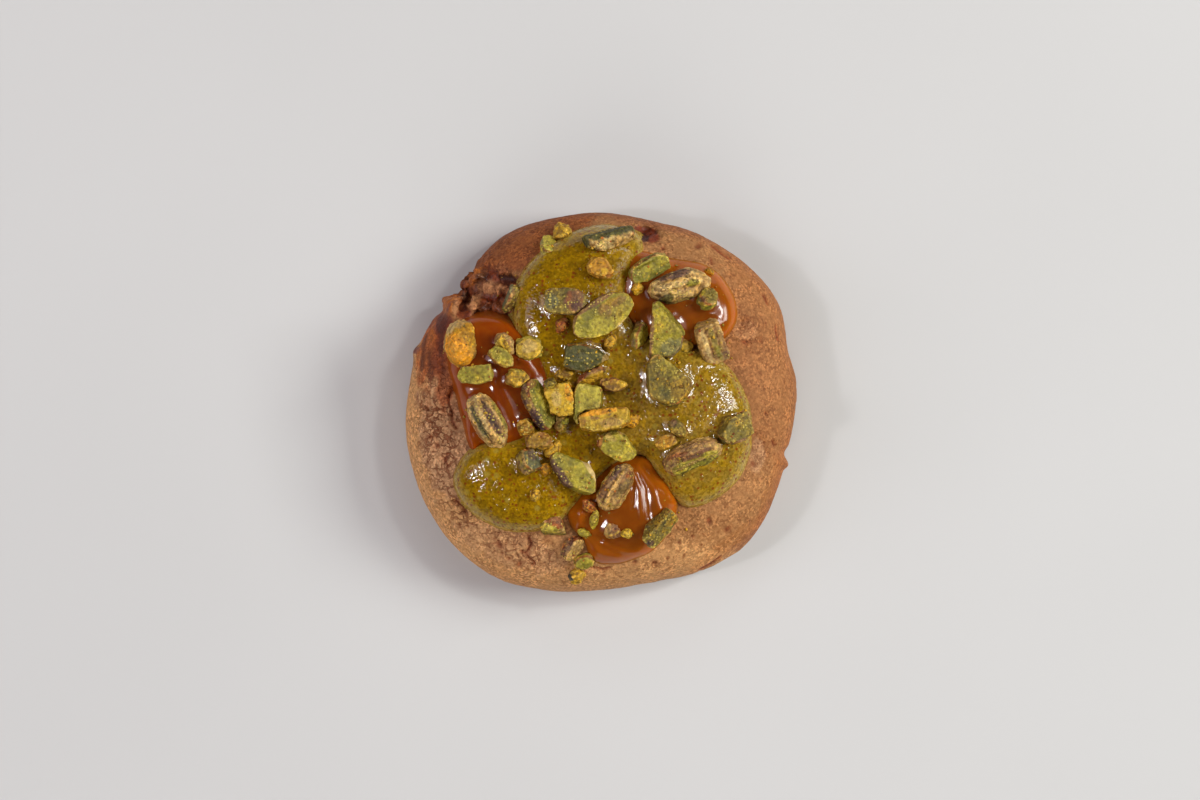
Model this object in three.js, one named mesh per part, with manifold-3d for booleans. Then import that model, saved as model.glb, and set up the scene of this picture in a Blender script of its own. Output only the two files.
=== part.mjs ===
// A pistachio cookie: one thick baked cookie, a dollop of pistachio cream that runs out in three lobes, three pools
// of caramel between the lobes, and chopped pistachio kernels strewn over the middle.
// Millimetres, +Z up. The origin is the middle of the footprint, on the flat underside that the cookie rests on.
// Each solid is made whole, and is then cut back by what it lies on or leans against, with a hair's gap between.
import * as THREE from "three";
import { mergeVertices } from "three/addons/utils/BufferGeometryUtils.js";
import Module from "manifold-3d";

// -------------------------------------------------------------------------------------- driving dimensions

const GAP = 0.3; // kept between neighbours that touch
const CLEARANCE = 1.6 * GAP; // straight up over a slope, which leaves about the gap square to it
const KEPT_VOLUME = 0.5; // mm3: what a cut leaves behind below this is dropped

const COOKIE = {
  height: 25, // at the shoulder ring, which is the highest dough
  widestAt: 7.5, // height of the widest line of the side wall
  foot: 0.93, // radius of the flat underside, as a share of the widest
  shoulder: 4.6, // how square the shoulder is: 2 is a dome, 6 nearly a drum
  wall: 2.2, // how round the side wall is
  dimple: 1.8, // how far the middle sank under the filling
  dimpleReach: 0.6, // of the radius
};

// Widest radius of the dough, every 15 degrees anticlockwise from +X.
const RIM_STEP = 15;
const RIM = [
  48.5, 48.2, 50.6, 49.6, 48.3, 46.9, 47.1, 47.3, 48.1, 46.6, 46.6, 47.7, 48.6, 49.8, 50.9, 51.5, 51.2, 48.9, 47.1,
  46.9, 48.9, 50.7, 49.5, 48.0,
];

// Nicks and knobs in the rim: where, how wide (degrees), and how deep. A knob stands out: its depth is negative.
// They are deepest at the widest line, and fade out down the wall and in over the top.
const RIM_MARKS = [
  { at: 142.5, width: 1.9, depth: 3.2 },
  { at: 136, width: 2.4, depth: 1.2 },
  { at: 147, width: 1.8, depth: -1.0 },
  { at: 150.5, width: 2, depth: 0.8 },
  { at: 165, width: 2.2, depth: -0.9 },
  { at: 341.2, width: 1.4, depth: -1.0 },
  { at: 344.6, width: 1.7, depth: 0.9 },
  { at: 8, width: 5, depth: -0.5 },
];

// Dents (negative) and bumps (positive) in the top crust: place, half-sizes, turn in degrees, height.
const CRUST_MARKS = [
  { at: [-28.6, 26.2], reach: [7.6, 5.8], turn: -25, height: -3.6 }, // the torn hollow at the back left
  { at: [-25.0, 20.8], reach: [5.0, 2.4], turn: -8, height: -3.4 }, // the cleft that runs in under the cream
  { at: [-31.9, 23.6], reach: [1.9, 2.9], turn: 5, height: 2.6 }, // a slab of crumb left standing in it
  { at: [-30.2, 31.0], reach: [2.6, 1.7], turn: 40, height: 1.6 },
  { at: [-34.8, 26.8], reach: [1.0, 2.6], turn: -12, height: -3.0 }, // the gap beside the loose flake
  { at: [-37.6, 23.8], reach: [1.8, 3.4], turn: -18, height: 2.4 }, // the loose flake
  { at: [10.9, 42.0], reach: [2.6, 1.6], turn: -20, height: -2.2 }, // the pocket at the back
  { at: [-38.4, 8.0], reach: [2.0, 6.5], turn: -8, height: -0.9 }, // the sunken band beside the left caramel
  { at: [-35.5, -1.0], reach: [1.2, 5.0], turn: 12, height: -0.9 },
  { at: [34.6, 19.0], reach: [1.5, 1.1], turn: 10, height: -0.8 },
];
const CRAGS = { at: [-29.5, 26.5], reach: 8.5, height: 0.55, pitch: 5.2 }; // broken crumb inside the torn hollow

// Outline of the cream seen from above, anticlockwise. The curve through the points is smooth.
const CREAM_OUTLINE = [
  [-21.0, 17.5], [-15.5, 8.7], [-14.8, 1.3], [-16.4, -5.5], [-22.9, -9.4], [-29.9, -10.4], [-34.7, -14.4],
  [-36.4, -20.2], [-32.8, -26.4], [-26.5, -30.8], [-19.5, -32.0], [-13.1, -31.0], [-8.2, -27.6], [-3.8, -22.7],
  [0.1, -17.8], [5.0, -14.3], [9.4, -13.1], [13.1, -17.3], [17.3, -23.7], [21.7, -25.9], [27.8, -23.9],
  [33.5, -19.2], [36.4, -12.4], [36.9, -4.5], [34.9, 2.8], [30.8, 8.7], [24.1, 12.6], [16.3, 13.8], [9.4, 17.0],
  [6.0, 24.9], [8.2, 32.2], [10.2, 38.1], [8.3, 41.6], [2.6, 43.6], [-4.5, 42.9], [-11.2, 39.6], [-16.3, 35.6],
  [-20.0, 30.8], [-21.4, 24.1],
];
const CREAM = {
  name: "pistachio_cream",
  outline: CREAM_OUTLINE,
  depth: 3.4,
  edge: 5, // how far in from the outline the rounded edge reaches
  lobes: [
    { at: [-7, 27], reach: 15, rise: 1.9 },
    { at: [21, -6], reach: 16, rise: 2.1 },
    { at: [-20, -20], reach: 12, rise: 1.8 },
  ],
};

// The three caramel pools. Each runs in a little under the cream, which cuts it back.
const POOLS = [
  {
    name: "caramel_left",
    outline: [
      [-33.9, 20.0], [-37.2, 13.8], [-37.2, 7.2], [-35.6, 1.8], [-34.2, -4.0], [-33.0, -9.6], [-31.2, -12.4],
      [-29.3, -10.9], [-24.9, -11.4], [-18.0, -9.9], [-13.1, -4.5], [-11.2, 2.3], [-13.8, 9.7], [-18.0, 15.6],
      [-22.9, 19.5], [-28.3, 21.0],
    ],
    depth: 3.3,
    edge: 4.5,
    lobes: [{ at: [-27, 4], reach: 9, rise: 0.8 }],
  },
  {
    name: "caramel_back",
    outline: [
      [4.8, 36.4], [4.0, 31.7], [4.5, 25.9], [6.5, 20.5], [11.4, 15.6], [18.3, 13.6], [24.6, 14.1], [29.5, 15.1],
      [32.5, 18.0], [33.2, 22.4], [31.5, 27.8], [28.1, 32.0], [22.9, 34.2], [16.3, 35.4], [9.9, 37.0],
    ],
    depth: 3.0,
    edge: 4.2,
    lobes: [{ at: [24, 24], reach: 10, rise: 0.6 }],
  },
  {
    name: "caramel_front",
    outline: [
      [2.1, -15.3], [-1.8, -19.2], [-5.8, -23.2], [-8.5, -27.1], [-7.2, -31.0], [-4.3, -34.4], [-2.8, -38.6],
      [1.1, -40.2], [8.5, -38.6], [13.8, -35.4], [16.8, -31.0], [18.5, -25.6], [17.5, -21.7], [14.3, -17.8],
      [10.4, -13.4], [6.5, -13.4],
    ],
    depth: 3.6,
    edge: 5.5,
    lobes: [{ at: [9, -24], reach: 9, rise: 1.6 }],
  },
];

// Where a knife may leave a flat face, in the kernel's own frame: [degrees round from its tip, degrees up].
const FACE = {
  tip: [0, 0],
  tail: [180, 0],
  left: [90, 0],
  right: [-90, 0],
  top: [0, 90],
  under: [0, -90],
  topTip: [0, 52],
  topTail: [180, 52],
  topLeft: [90, 48],
  topRight: [-90, 48],
  tipLeft: [38, 5],
  tipRight: [-38, 5],
  tailLeft: [142, 5],
  tailRight: [-142, 5],
};

// How each form of kernel is made. facets is the detail of the ball that it is carved from, square is how boxy the
// ball is (2 is round), and lumps is how uneven it is.
const FORMS = {
  half: { facets: 2, square: 2.1, lumps: 0.04, cuts: { under: 0.1 } },
  split: { facets: 2, square: 2.1, lumps: 0.03, cuts: { top: 0.18 } },
  chunk: { facets: 1, square: 2.9, lumps: 0.06, cuts: {} },
  chip: { facets: 0, square: 2.9, lumps: 0.06, cuts: {} },
  bit: { facets: 0, square: 2.5, lumps: 0.13, cuts: {} },
};

// The chopped kernels. at: place seen from above. size: length, width and thickness. turn: degrees
// anticlockwise from +X to the tip. cuts: each flat face, and how much of the half-size it leaves. lift raises a
// piece that lies on another one.
// hue is its finish: ridged skin, green flesh, olive flesh or golden flesh.
const KERNELS = [
  {
    form: "split", hue: "green", at: [-0.1, 20.9], size: [16.8, 8.6, 5.6], turn: 32, lift: 1,
    cuts: { tipLeft: 0.92 },
  },
  { form: "half", hue: "ridged", at: [19, 28.6], size: [15.6, 7.8, 6], turn: 12, lift: 0.9 },
  {
    form: "half", hue: "ridged", at: [22, -13.3], size: [15.4, 7.6, 5.2], turn: 24,
    cuts: { topRight: 0.72 },
  },
  {
    form: "half", hue: "ridged", at: [-27.7, -5.2], size: [14.7, 8.2, 5.8], turn: -62,
    cuts: { tail: 0.86 },
  },
  {
    form: "half", hue: "ridged", at: [3.2, -20.8], size: [13.2, 6.5, 5.6], turn: 60, lift: 0.4,
    cuts: { left: 0.8 },
  },
  { form: "half", hue: "golden", at: [-35.2, 14.8], size: [12, 8.2, 6.4], turn: 95, lift: 0.2 },
  {
    form: "chunk", hue: "golden", at: [0.8, -4.3], size: [12.2, 5.5, 4.6], turn: 8, lift: 2,
    cuts: { top: 0.6, tip: 0.86, tail: 0.8 },
  },
  {
    form: "chunk", hue: "green", at: [16.1, 17.3], size: [14, 8.2, 5.6], turn: 86, lift: 0.5,
    cuts: { left: 0.5, tipRight: 0.6, top: 0.5 },
  },
  {
    form: "chunk", hue: "green", at: [-6.8, -17.3], size: [13.6, 7.8, 5.8], turn: -60,
    cuts: { top: 0.42, tipRight: 0.62, tailLeft: 0.6, right: 0.8 },
  },
  {
    form: "chunk", hue: "olive", at: [15.4, 4.1], size: [12.8, 9.6, 5.8], turn: -38,
    cuts: { top: 0.5, left: 0.7, tailRight: 0.75 },
  },
  {
    form: "chunk", hue: "green", at: [-15.5, -0.5], size: [13, 6.5, 5.4], turn: -66, lift: 0.4,
    cuts: { topLeft: 0.5 },
  },
  {
    form: "chunk", hue: "olive", at: [1.3, 40.5], size: [12.2, 7.3, 5.4], turn: 24,
    cuts: { topLeft: 0.36, tip: 0.8, tail: 0.9 },
  },
  {
    form: "chunk", hue: "olive", at: [-3.7, 10.7], size: [10.8, 6.9, 4.6], turn: -6, lift: 1,
    cuts: { top: 0.45, tail: 0.72, tipRight: 0.66, tipLeft: 0.78 },
  },
  {
    form: "chunk", hue: "ridged", at: [26.2, 14.7], size: [10.8, 6.8, 5.2], turn: -68,
    cuts: { top: 0.5, tip: 0.76, tail: 0.72, left: 0.8 },
  },
  {
    form: "chunk", hue: "green", at: [-3.3, -1], size: [9.6, 6.7, 5.6], turn: 84,
    cuts: { tip: 0.66, top: 0.42 },
  },
  {
    form: "chunk", hue: "green", at: [4, -10.4], size: [10.4, 6.3, 4.8], turn: -22, lift: 0.5,
    cuts: { top: 0.5, tailLeft: 0.8, tipLeft: 0.7 },
  },
  {
    form: "chunk", hue: "olive", at: [-8.9, 24.2], size: [9.9, 6.6, 5.2], turn: -5,
    cuts: { top: 0.5, tail: 0.76, tip: 0.84 },
  },
  {
    form: "chunk", hue: "green", at: [11.4, 32.4], size: [10.5, 5.4, 4.6], turn: 28,
    cuts: { topRight: 0.42, tip: 0.86 },
  },
  {
    form: "chip", hue: "green", at: [9.2, 15.7], size: [8.2, 4.2, 4.2], turn: 72, lift: 0.3,
    cuts: { topRight: 0.5, tailRight: 0.7 },
  },
  {
    form: "chunk", hue: "olive", at: [31.7, -6.8], size: [8.3, 7.1, 5.2], turn: 20,
    cuts: { top: 0.5, tip: 0.66, tailLeft: 0.8 },
  },
  {
    form: "chunk", hue: "olive", at: [13.7, -30.6], size: [9.9, 4.6, 4.2], turn: 48, lift: 0.3,
    cuts: { top: 0.42, tip: 0.82, tail: 0.8, left: 0.8 },
  },
  {
    form: "chunk", hue: "ridged", at: [-11.8, -30.9], size: [7.9, 7.6, 5.2], turn: -20,
    cuts: { topRight: 0.36, tailRight: 0.7, tipLeft: 0.7 },
  },
  {
    form: "chip", hue: "ridged", at: [-7.3, -35.6], size: [7, 4.8, 4.4], turn: 60,
    cuts: { topRight: 0.5, tail: 0.8 },
  },
  {
    form: "chunk", hue: "golden", at: [-9.8, 0.3], size: [8.3, 6.6, 5.4], turn: -75, lift: 0.4,
    cuts: { top: 0.42, tail: 0.72, left: 0.8 },
  },
  {
    form: "chip", hue: "green", at: [-30.9, 6.3], size: [9, 4.7, 3.8], turn: 5,
    cuts: { top: 0.3, tip: 0.76, left: 0.8 },
  },
  {
    form: "chip", hue: "golden", at: [-0.3, 32.2], size: [7.4, 5.5, 4.2], turn: -15,
    cuts: { top: 0.5, tipLeft: 0.66 },
  },
  {
    form: "chip", hue: "green", at: [-13.2, 38.2], size: [7.6, 4.3, 4], turn: -72,
    cuts: { topLeft: 0.5, tip: 0.84 },
  },
  {
    form: "chip", hue: "olive", at: [-22.4, 25.2], size: [7.8, 4.2, 4.4], turn: 62, lift: 0.3,
    cuts: { topLeft: 0.4 },
  },
  {
    form: "chip", hue: "golden", at: [-17.4, 13.1], size: [6.8, 6, 4.4], turn: 5,
    cuts: { top: 0.5, tail: 0.8 },
  },
  { form: "chip", hue: "golden", at: [-2.6, 6], size: [7.8, 3.5, 3.8], turn: 25, cuts: { topRight: 0.5 } },
  {
    form: "chip", hue: "golden", at: [-23.5, 14.1], size: [6.6, 4.4, 4], turn: -50, lift: 0.2,
    cuts: { topRight: 0.6 },
  },
  {
    form: "chip", hue: "green", at: [-24.1, 10.6], size: [7, 4.6, 3.8], turn: -40,
    cuts: { top: 0.5, tail: 0.8 },
  },
  {
    form: "chip", hue: "golden", at: [-20.3, 5.8], size: [6.2, 4.4, 4], turn: -10,
    cuts: { top: 0.6, tipLeft: 0.8 },
  },
  { form: "bit", hue: "golden", at: [2.9, 4.2], size: [7.3, 3.9, 3.6], turn: -4, cuts: { top: 0.6 } },
  {
    form: "bit", hue: "olive", at: [25.7, 25], size: [6.3, 5.4, 4.6], turn: 60, lift: 0.4,
    cuts: { topTip: 0.6 },
  },
  {
    form: "bit", hue: "olive", at: [-18.1, -14.4], size: [6.7, 5.6, 4.6], turn: -60,
    cuts: { topLeft: 0.6 },
  },
  { form: "bit", hue: "golden", at: [19.9, 13.2], size: [5.4, 4.5, 4], turn: 10 },
  { form: "bit", hue: "golden", at: [-9.7, 41.5], size: [5.3, 5, 4.4], turn: 30 },
  { form: "bit", hue: "golden", at: [-15.2, -9.6], size: [7, 4.7, 4], turn: 15, cuts: { top: 0.7 } },
  { form: "bit", hue: "golden", at: [-18.3, -6.3], size: [4.8, 4.6, 3.8], turn: 0 },
  { form: "bit", hue: "golden", at: [-10, -5.2], size: [4.9, 3.8, 3.6], turn: 80, cuts: { topLeft: 0.6 } },
  { form: "bit", hue: "golden", at: [15.8, -9.7], size: [5.6, 3.7, 3.4], turn: 25, cuts: { top: 0.6 } },
  { form: "bit", hue: "olive", at: [18.4, -6.7], size: [5.6, 4, 3.6], turn: -45 },
  { form: "bit", hue: "golden", at: [-9, 6.3], size: [5, 3.8, 3.4], turn: 5 },
  { form: "bit", hue: "green", at: [-4.3, -39.2], size: [4.9, 4.3, 3.8], turn: 10, cuts: { top: 0.6 } },
  { form: "bit", hue: "golden", at: [-6.3, -43.1], size: [5.2, 4, 3.4], turn: 40 },
  { form: "bit", hue: "golden", at: [2.3, -31.7], size: [5, 4.1, 3.4], turn: 20 },
];
const SUNK = 0.22; // share of a kernel's thickness that is pressed into what it lies on

// Crumbs too small to be pieces of their own: place, size, turn. Each is fused to the topping that it lies on.
const CRUMBS = [
  { on: "pistachio_cream", at: [-3.6, 15.3], size: [5.2, 3.2, 3.0], turn: -10 },
  { on: "pistachio_cream", at: [1.9, 14.5], size: [4.6, 3.0, 2.8], turn: 60 },
  { on: "pistachio_cream", at: [-9.6, 18.4], size: [3.8, 3.4, 2.8], turn: 80 },
  { on: "pistachio_cream", at: [-12.0, -11.8], size: [5.2, 3.2, 2.8], turn: 50 },
  { on: "pistachio_cream", at: [-13.4, -16.4], size: [3.0, 3.0, 2.4], turn: 0 },
  { on: "pistachio_cream", at: [-16.2, -22.6], size: [3.4, 2.6, 2.6], turn: 80 },
  { on: "pistachio_cream", at: [7.6, -4.6], size: [3.8, 3.2, 2.8], turn: 10 },
  { on: "pistachio_cream", at: [-12.3, 3.9], size: [3.0, 2.6, 2.4], turn: 20 },
  { on: "caramel_front", at: [-1.7, -28.7], size: [4.6, 2.2, 2.4], turn: 75 },
  { on: "caramel_front", at: [-4.2, -31.8], size: [3.6, 2.0, 2.2], turn: -15 },
  { on: "caramel_front", at: [6.1, -32.0], size: [2.8, 2.2, 2.2], turn: 0 },
  { on: "caramel_front", at: [-3.2, -25.2], size: [4.2, 3.2, 2.8], turn: -30 },
  { on: "caramel_back", at: [8.6, 27.6], size: [3.2, 2.6, 2.6], turn: 70 },
];

// How finely the surfaces are divided.
const COLUMNS = [
  { from: 0, to: 116, step: 5.8 },
  { from: 116, to: 172, step: 1.75 },
  { from: 172, to: 334, step: 6 },
  { from: 334, to: 352, step: 2.25 },
  { from: 352, to: 360, step: 4 },
];
const TOP_RINGS = [1, 0.987, 0.955, 0.91, 0.855, 0.8, 0.745, 0.69, 0.62, 0.4]; // shares of the radius
const WALL_LEVELS = [0, 0.2, 0.6]; // shares of the height of the widest line
const SHEET_STEP = 3.2; // grid of the toppings' upper surfaces

// --------------------------------------------------------------------------------------------- small maths

const radians = THREE.MathUtils.degToRad;
const fromAngle = (degrees) => new THREE.Vector2(Math.cos(radians(degrees)), Math.sin(radians(degrees)));

/** How far apart two bearings are, in degrees, the short way round. */
function bearingGap(a, b) {
  return Math.abs(THREE.MathUtils.euclideanModulo(a - b + 180, 360) - 180);
}

/** A hump of height 1 at the middle that fades out past its reach. It may be longer one way, and turned. */
function hump(x, y, at, [reachX, reachY], turn = 0) {
  const c = Math.cos(radians(turn));
  const s = Math.sin(radians(turn));
  const dx = x - at[0];
  const dy = y - at[1];
  const u = (dx * c + dy * s) / reachX;
  const v = (dy * c - dx * s) / reachY;
  return Math.exp(-((u * u + v * v) ** 1.5));
}

/** Gentle unevenness between about -1 and 1, the same on every run. pitch is the distance between two waves. */
function waves(x, y, pitch, seed) {
  const k = (2 * Math.PI) / pitch;
  let sum = 0;
  for (let i = 0; i < 4; i++) {
    const way = fromAngle(seed * 77 + i * 49);
    sum += Math.sin(k * (way.x * x + way.y * y) * (1 + 0.23 * i) + seed * 5.1 + i * 1.9);
  }
  return sum / 2.6;
}

/** A closed smooth curve through the points, as short straight steps. */
function smoothOutline(points, steps = 96) {
  const curve = new THREE.CatmullRomCurve3(points.map(([x, y]) => new THREE.Vector3(x, y, 0)), true, "centripetal");
  return curve.getSpacedPoints(steps).slice(0, steps);
}

/** Distance of a point in from an outline: positive inside, negative outside. */
function depthInside(outline, x, y) {
  let nearest = Infinity;
  let inside = false;
  outline.forEach((a, i) => {
    const b = outline[(i + 1) % outline.length];
    const along = ((x - a.x) * (b.x - a.x) + (y - a.y) * (b.y - a.y)) / (a.distanceToSquared(b) || 1);
    const t = THREE.MathUtils.clamp(along, 0, 1);
    nearest = Math.min(nearest, Math.hypot(a.x + t * (b.x - a.x) - x, a.y + t * (b.y - a.y) - y));
    if (a.y > y !== b.y > y && x < a.x + ((y - a.y) / (b.y - a.y)) * (b.x - a.x)) inside = !inside;
  });
  return inside ? nearest : -nearest;
}

// ------------------------------------------------------------------------------------- cutting and joining

const wasm = await Module();
wasm.setup();

/** A closed three.js geometry as a solid that can be cut and joined. */
function toSolid(geometry) {
  const bare = new THREE.BufferGeometry().setAttribute("position", geometry.getAttribute("position").clone());
  if (geometry.index) bare.setIndex(geometry.index.clone());
  const merged = mergeVertices(bare, 1e-4);
  return new wasm.Manifold(
    new wasm.Mesh({
      numProp: 3,
      vertProperties: merged.getAttribute("position").array,
      triVerts: new Uint32Array(merged.index.array),
    }),
  );
}

/** The box round a solid. */
function boxOf(solid) {
  const { min, max } = solid.boundingBox();
  return new THREE.Box3(new THREE.Vector3(...min), new THREE.Vector3(...max));
}

/** A solid back as a three.js geometry. */
function toGeometry(solid) {
  const { vertProperties, triVerts } = solid.getMesh();
  const geometry = new THREE.BufferGeometry();
  geometry.setAttribute("position", new THREE.BufferAttribute(new Float32Array(vertProperties), 3));
  geometry.setIndex(new THREE.BufferAttribute(new Uint32Array(triVerts), 1));
  geometry.computeVertexNormals();
  return geometry;
}

/** A solid moved, turned or scaled by a matrix. */
function moved(solid, matrix) {
  const { vertProperties, triVerts } = solid.getMesh();
  new THREE.BufferAttribute(vertProperties, 3).applyMatrix4(matrix);
  return new wasm.Manifold(new wasm.Mesh({ numProp: 3, vertProperties, triVerts }));
}

/** What is left of a solid once the others are cut away from it. Those out of its reach are passed over. */
function clearOf(solid, others) {
  const reach = boxOf(solid);
  const near = others.filter((other) => boxOf(other).intersectsBox(reach));
  return near.reduce((left, other) => left.subtract(other), solid);
}

/** The largest piece of what a cut leaves, so that no loose scrap stays. */
function largest(solid) {
  return solid.decompose().reduce((best, piece) => (piece.volume() > best.volume() ? piece : best));
}

/** A closed body from rings of points, lowest ring first, closed by a fan to a point at either end. */
function lofted(rings, bottom, top) {
  const count = rings[0].length;
  const points = [bottom, ...rings.flat(), top];
  const at = (ring, i) => 1 + ring * count + (i % count);
  const faces = [];
  for (let i = 0; i < count; i++) {
    faces.push([0, at(0, i + 1), at(0, i)]);
    for (let r = 0; r + 1 < rings.length; r++) {
      const [a, b, c, d] = [at(r, i), at(r, i + 1), at(r + 1, i + 1), at(r + 1, i)];
      if ((r + i) % 2) faces.push([a, b, c], [a, c, d]);
      else faces.push([a, b, d], [b, c, d]);
    }
    faces.push([points.length - 1, at(rings.length - 1, i), at(rings.length - 1, i + 1)]);
  }
  const geometry = new THREE.BufferGeometry().setFromPoints(points);
  geometry.setIndex(faces.flat());
  return geometry;
}

// --------------------------------------------------------------------------------------------------- dough

/** Radius of the dough at its widest line without its nicks, in the direction of a bearing in degrees. */
function rimRadius(bearing) {
  const place = THREE.MathUtils.euclideanModulo(bearing, 360) / RIM_STEP;
  const i = Math.floor(place);
  const radius = (k) => RIM[(i + k + RIM.length) % RIM.length];
  const [a, b, c, d] = [radius(-1), radius(0), radius(1), radius(2)];
  const t = place - i;
  return b + 0.5 * t * (c - a + t * (2 * a - 5 * b + 4 * c - d + t * (3 * (b - c) + d - a)));
}

/** How deep the rim is nicked at a bearing. */
function rimNick(bearing) {
  return RIM_MARKS.reduce((sum, m) => sum + m.depth * Math.exp(-((bearingGap(bearing, m.at) / m.width) ** 2)), 0);
}

/** Height of the dough's top without its torn places, which is what the toppings flow over. */
function crustLevel(x, y) {
  const share = Math.min(Math.hypot(x, y) / rimRadius(THREE.MathUtils.radToDeg(Math.atan2(y, x))), 1);
  const round = (1 - share ** COOKIE.shoulder) ** (1 / COOKIE.wall);
  const dimple = COOKIE.dimple * Math.exp(-((share / COOKIE.dimpleReach) ** 2));
  const swell = 0.55 * waves(x, y, 34, 3) * (1 - share ** 6);
  return COOKIE.widestAt + (COOKIE.height - COOKIE.widestAt) * round - dimple + swell;
}

/** Height of the dough's top with its hollows, clefts, flakes and crags. */
function doughTop(x, y) {
  const marks = CRUST_MARKS.reduce((sum, m) => sum + m.height * hump(x, y, m.at, m.reach, m.turn), 0);
  const crags = CRAGS.height * waves(x, y, CRAGS.pitch, 8) * hump(x, y, CRAGS.at, [CRAGS.reach, CRAGS.reach]);
  return crustLevel(x, y) + marks + crags;
}

/** The bearings at which the dough is divided: finer where its rim is torn. */
function bearings() {
  return COLUMNS.flatMap(({ from, to, step }) => {
    const count = Math.round((to - from) / step);
    return Array.from({ length: count }, (_, i) => from + ((to - from) * i) / count);
  });
}

/** The baked dough, a squat round with a flat foot, a bulging wall and a domed, torn top. */
function doughSolid() {
  const ways = bearings();
  const wallRings = WALL_LEVELS.map((level) =>
    ways.map((bearing) => {
      const bulge = COOKIE.foot + (1 - COOKIE.foot) * Math.sqrt(1 - (1 - level) ** 2);
      const uneven = 1 + 0.006 * level * waves(bearing, level * 20, 37, 6);
      const radius = rimRadius(bearing) * bulge * uneven - rimNick(bearing) * level ** 2;
      const p = fromAngle(bearing).multiplyScalar(radius);
      return new THREE.Vector3(p.x, p.y, level * COOKIE.widestAt);
    }),
  );
  const topRings = TOP_RINGS.map((share) =>
    ways.map((bearing) => {
      const p = fromAngle(bearing).multiplyScalar(rimRadius(bearing) * share);
      const height = Math.max(doughTop(p.x, p.y), COOKIE.widestAt * 0.85);
      p.sub(fromAngle(bearing).multiplyScalar(rimNick(bearing) * share ** 14));
      return new THREE.Vector3(p.x, p.y, height);
    }),
  );
  const middleTop = new THREE.Vector3(0, 0, doughTop(0, 0));
  return toSolid(lofted([...wallRings, ...topRings], new THREE.Vector3(0, 0, 0), middleTop));
}

// --------------------------------------------------------------------------------------- cream and caramel

/** How thick a spread topping is at a place. It falls away steeply outside its outline. */
function thickness(sheet, x, y) {
  const inside = depthInside(sheet.curve, x, y);
  if (inside <= 0) return 1.6 * inside;
  const rounded = Math.sqrt(1 - (1 - Math.min(inside / sheet.edge, 1)) ** 2);
  const lobes = sheet.lobes.reduce((sum, l) => sum + l.rise * hump(x, y, l.at, [l.reach, l.reach]), 0);
  return rounded * (sheet.depth + lobes);
}

/** Height of a spread topping's upper surface. */
function sheetTop(sheet, x, y) {
  return crustLevel(x, y) + thickness(sheet, x, y);
}

/** A spread topping as a block from low in the dough up to its surface. What lies under it cuts its underside. */
function sheetBlock(sheet, raised = 0) {
  const box = new THREE.Box2().setFromPoints(sheet.curve).expandByScalar(SHEET_STEP);
  const size = box.getSize(new THREE.Vector2());
  const middle = box.getCenter(new THREE.Vector2());
  const floor = COOKIE.widestAt;
  const [across, deep] = [Math.ceil(size.x / SHEET_STEP), Math.ceil(size.y / SHEET_STEP)];
  const geometry = new THREE.BoxGeometry(size.x, size.y, 1, across, deep, 1);
  const position = geometry.getAttribute("position");
  for (let i = 0; i < position.count; i++) {
    const x = position.getX(i) + middle.x;
    const y = position.getY(i) + middle.y;
    const top = Math.max(sheetTop(sheet, x, y), floor + 0.5) + raised;
    position.setXYZ(i, x, y, position.getZ(i) > 0 ? top : floor - raised);
  }
  return toSolid(geometry);
}

/** A spread topping, cut to the shape of all that it lies on or runs up against. */
function sheetSolid(sheet, beds) {
  return largest(clearOf(sheetBlock(sheet), beds));
}

// ------------------------------------------------------------------------------------------------- kernels

/** The part of space on the near side of a plane, as a large block. normal is a unit vector, reach its distance. */
function nearSide(normal, reach) {
  const side = 60;
  const block = new THREE.BoxGeometry(side, side, side);
  block.translate(0, 0, reach - side / 2);
  block.applyQuaternion(new THREE.Quaternion().setFromUnitVectors(new THREE.Vector3(0, 0, 1), normal));
  return toSolid(block);
}

/** A kernel's blank before it is chopped: an uneven oval of unit size, in its own frame, with its tip on +X. */
function kernelBlank({ facets, square, lumps }, seed) {
  const geometry = facets ? new THREE.IcosahedronGeometry(1, facets) : new THREE.OctahedronGeometry(1, 1);
  const position = geometry.getAttribute("position");
  for (let i = 0; i < position.count; i++) {
    const p = new THREE.Vector3().fromBufferAttribute(position, i);
    const lump = waves(p.x * 10 + p.z * 7, p.y * 10 - p.z * 4, 17, seed);
    const boxy = p.toArray().reduce((sum, side) => sum + Math.abs(side) ** square, 0) ** (-1 / square);
    p.multiplyScalar(boxy * (1 + lumps * lump));
    position.setXYZ(i, p.x, p.y, p.z);
  }
  return toSolid(geometry);
}

/** A chopped kernel in its own frame: its blank with each flat face of the knife cut off, brought to its size. */
function choppedKernel({ form, size, cuts = {} }, seed) {
  const style = FORMS[form];
  const chopped = Object.entries({ ...style.cuts, ...cuts }).reduce((solid, [face, kept]) => {
    const [round, up] = FACE[face].map(radians);
    const normal = new THREE.Vector3(Math.cos(up) * Math.cos(round), Math.cos(up) * Math.sin(round), Math.sin(up));
    return solid.intersect(nearSide(normal, kept));
  }, kernelBlank(style, seed));
  const box = boxOf(chopped);
  const scale = new THREE.Vector3(...size).divide(box.getSize(new THREE.Vector3()));
  const middle = box.getCenter(new THREE.Vector3()).multiply(scale).negate();
  return moved(chopped, new THREE.Matrix4().makeTranslation(middle).scale(scale));
}

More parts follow.
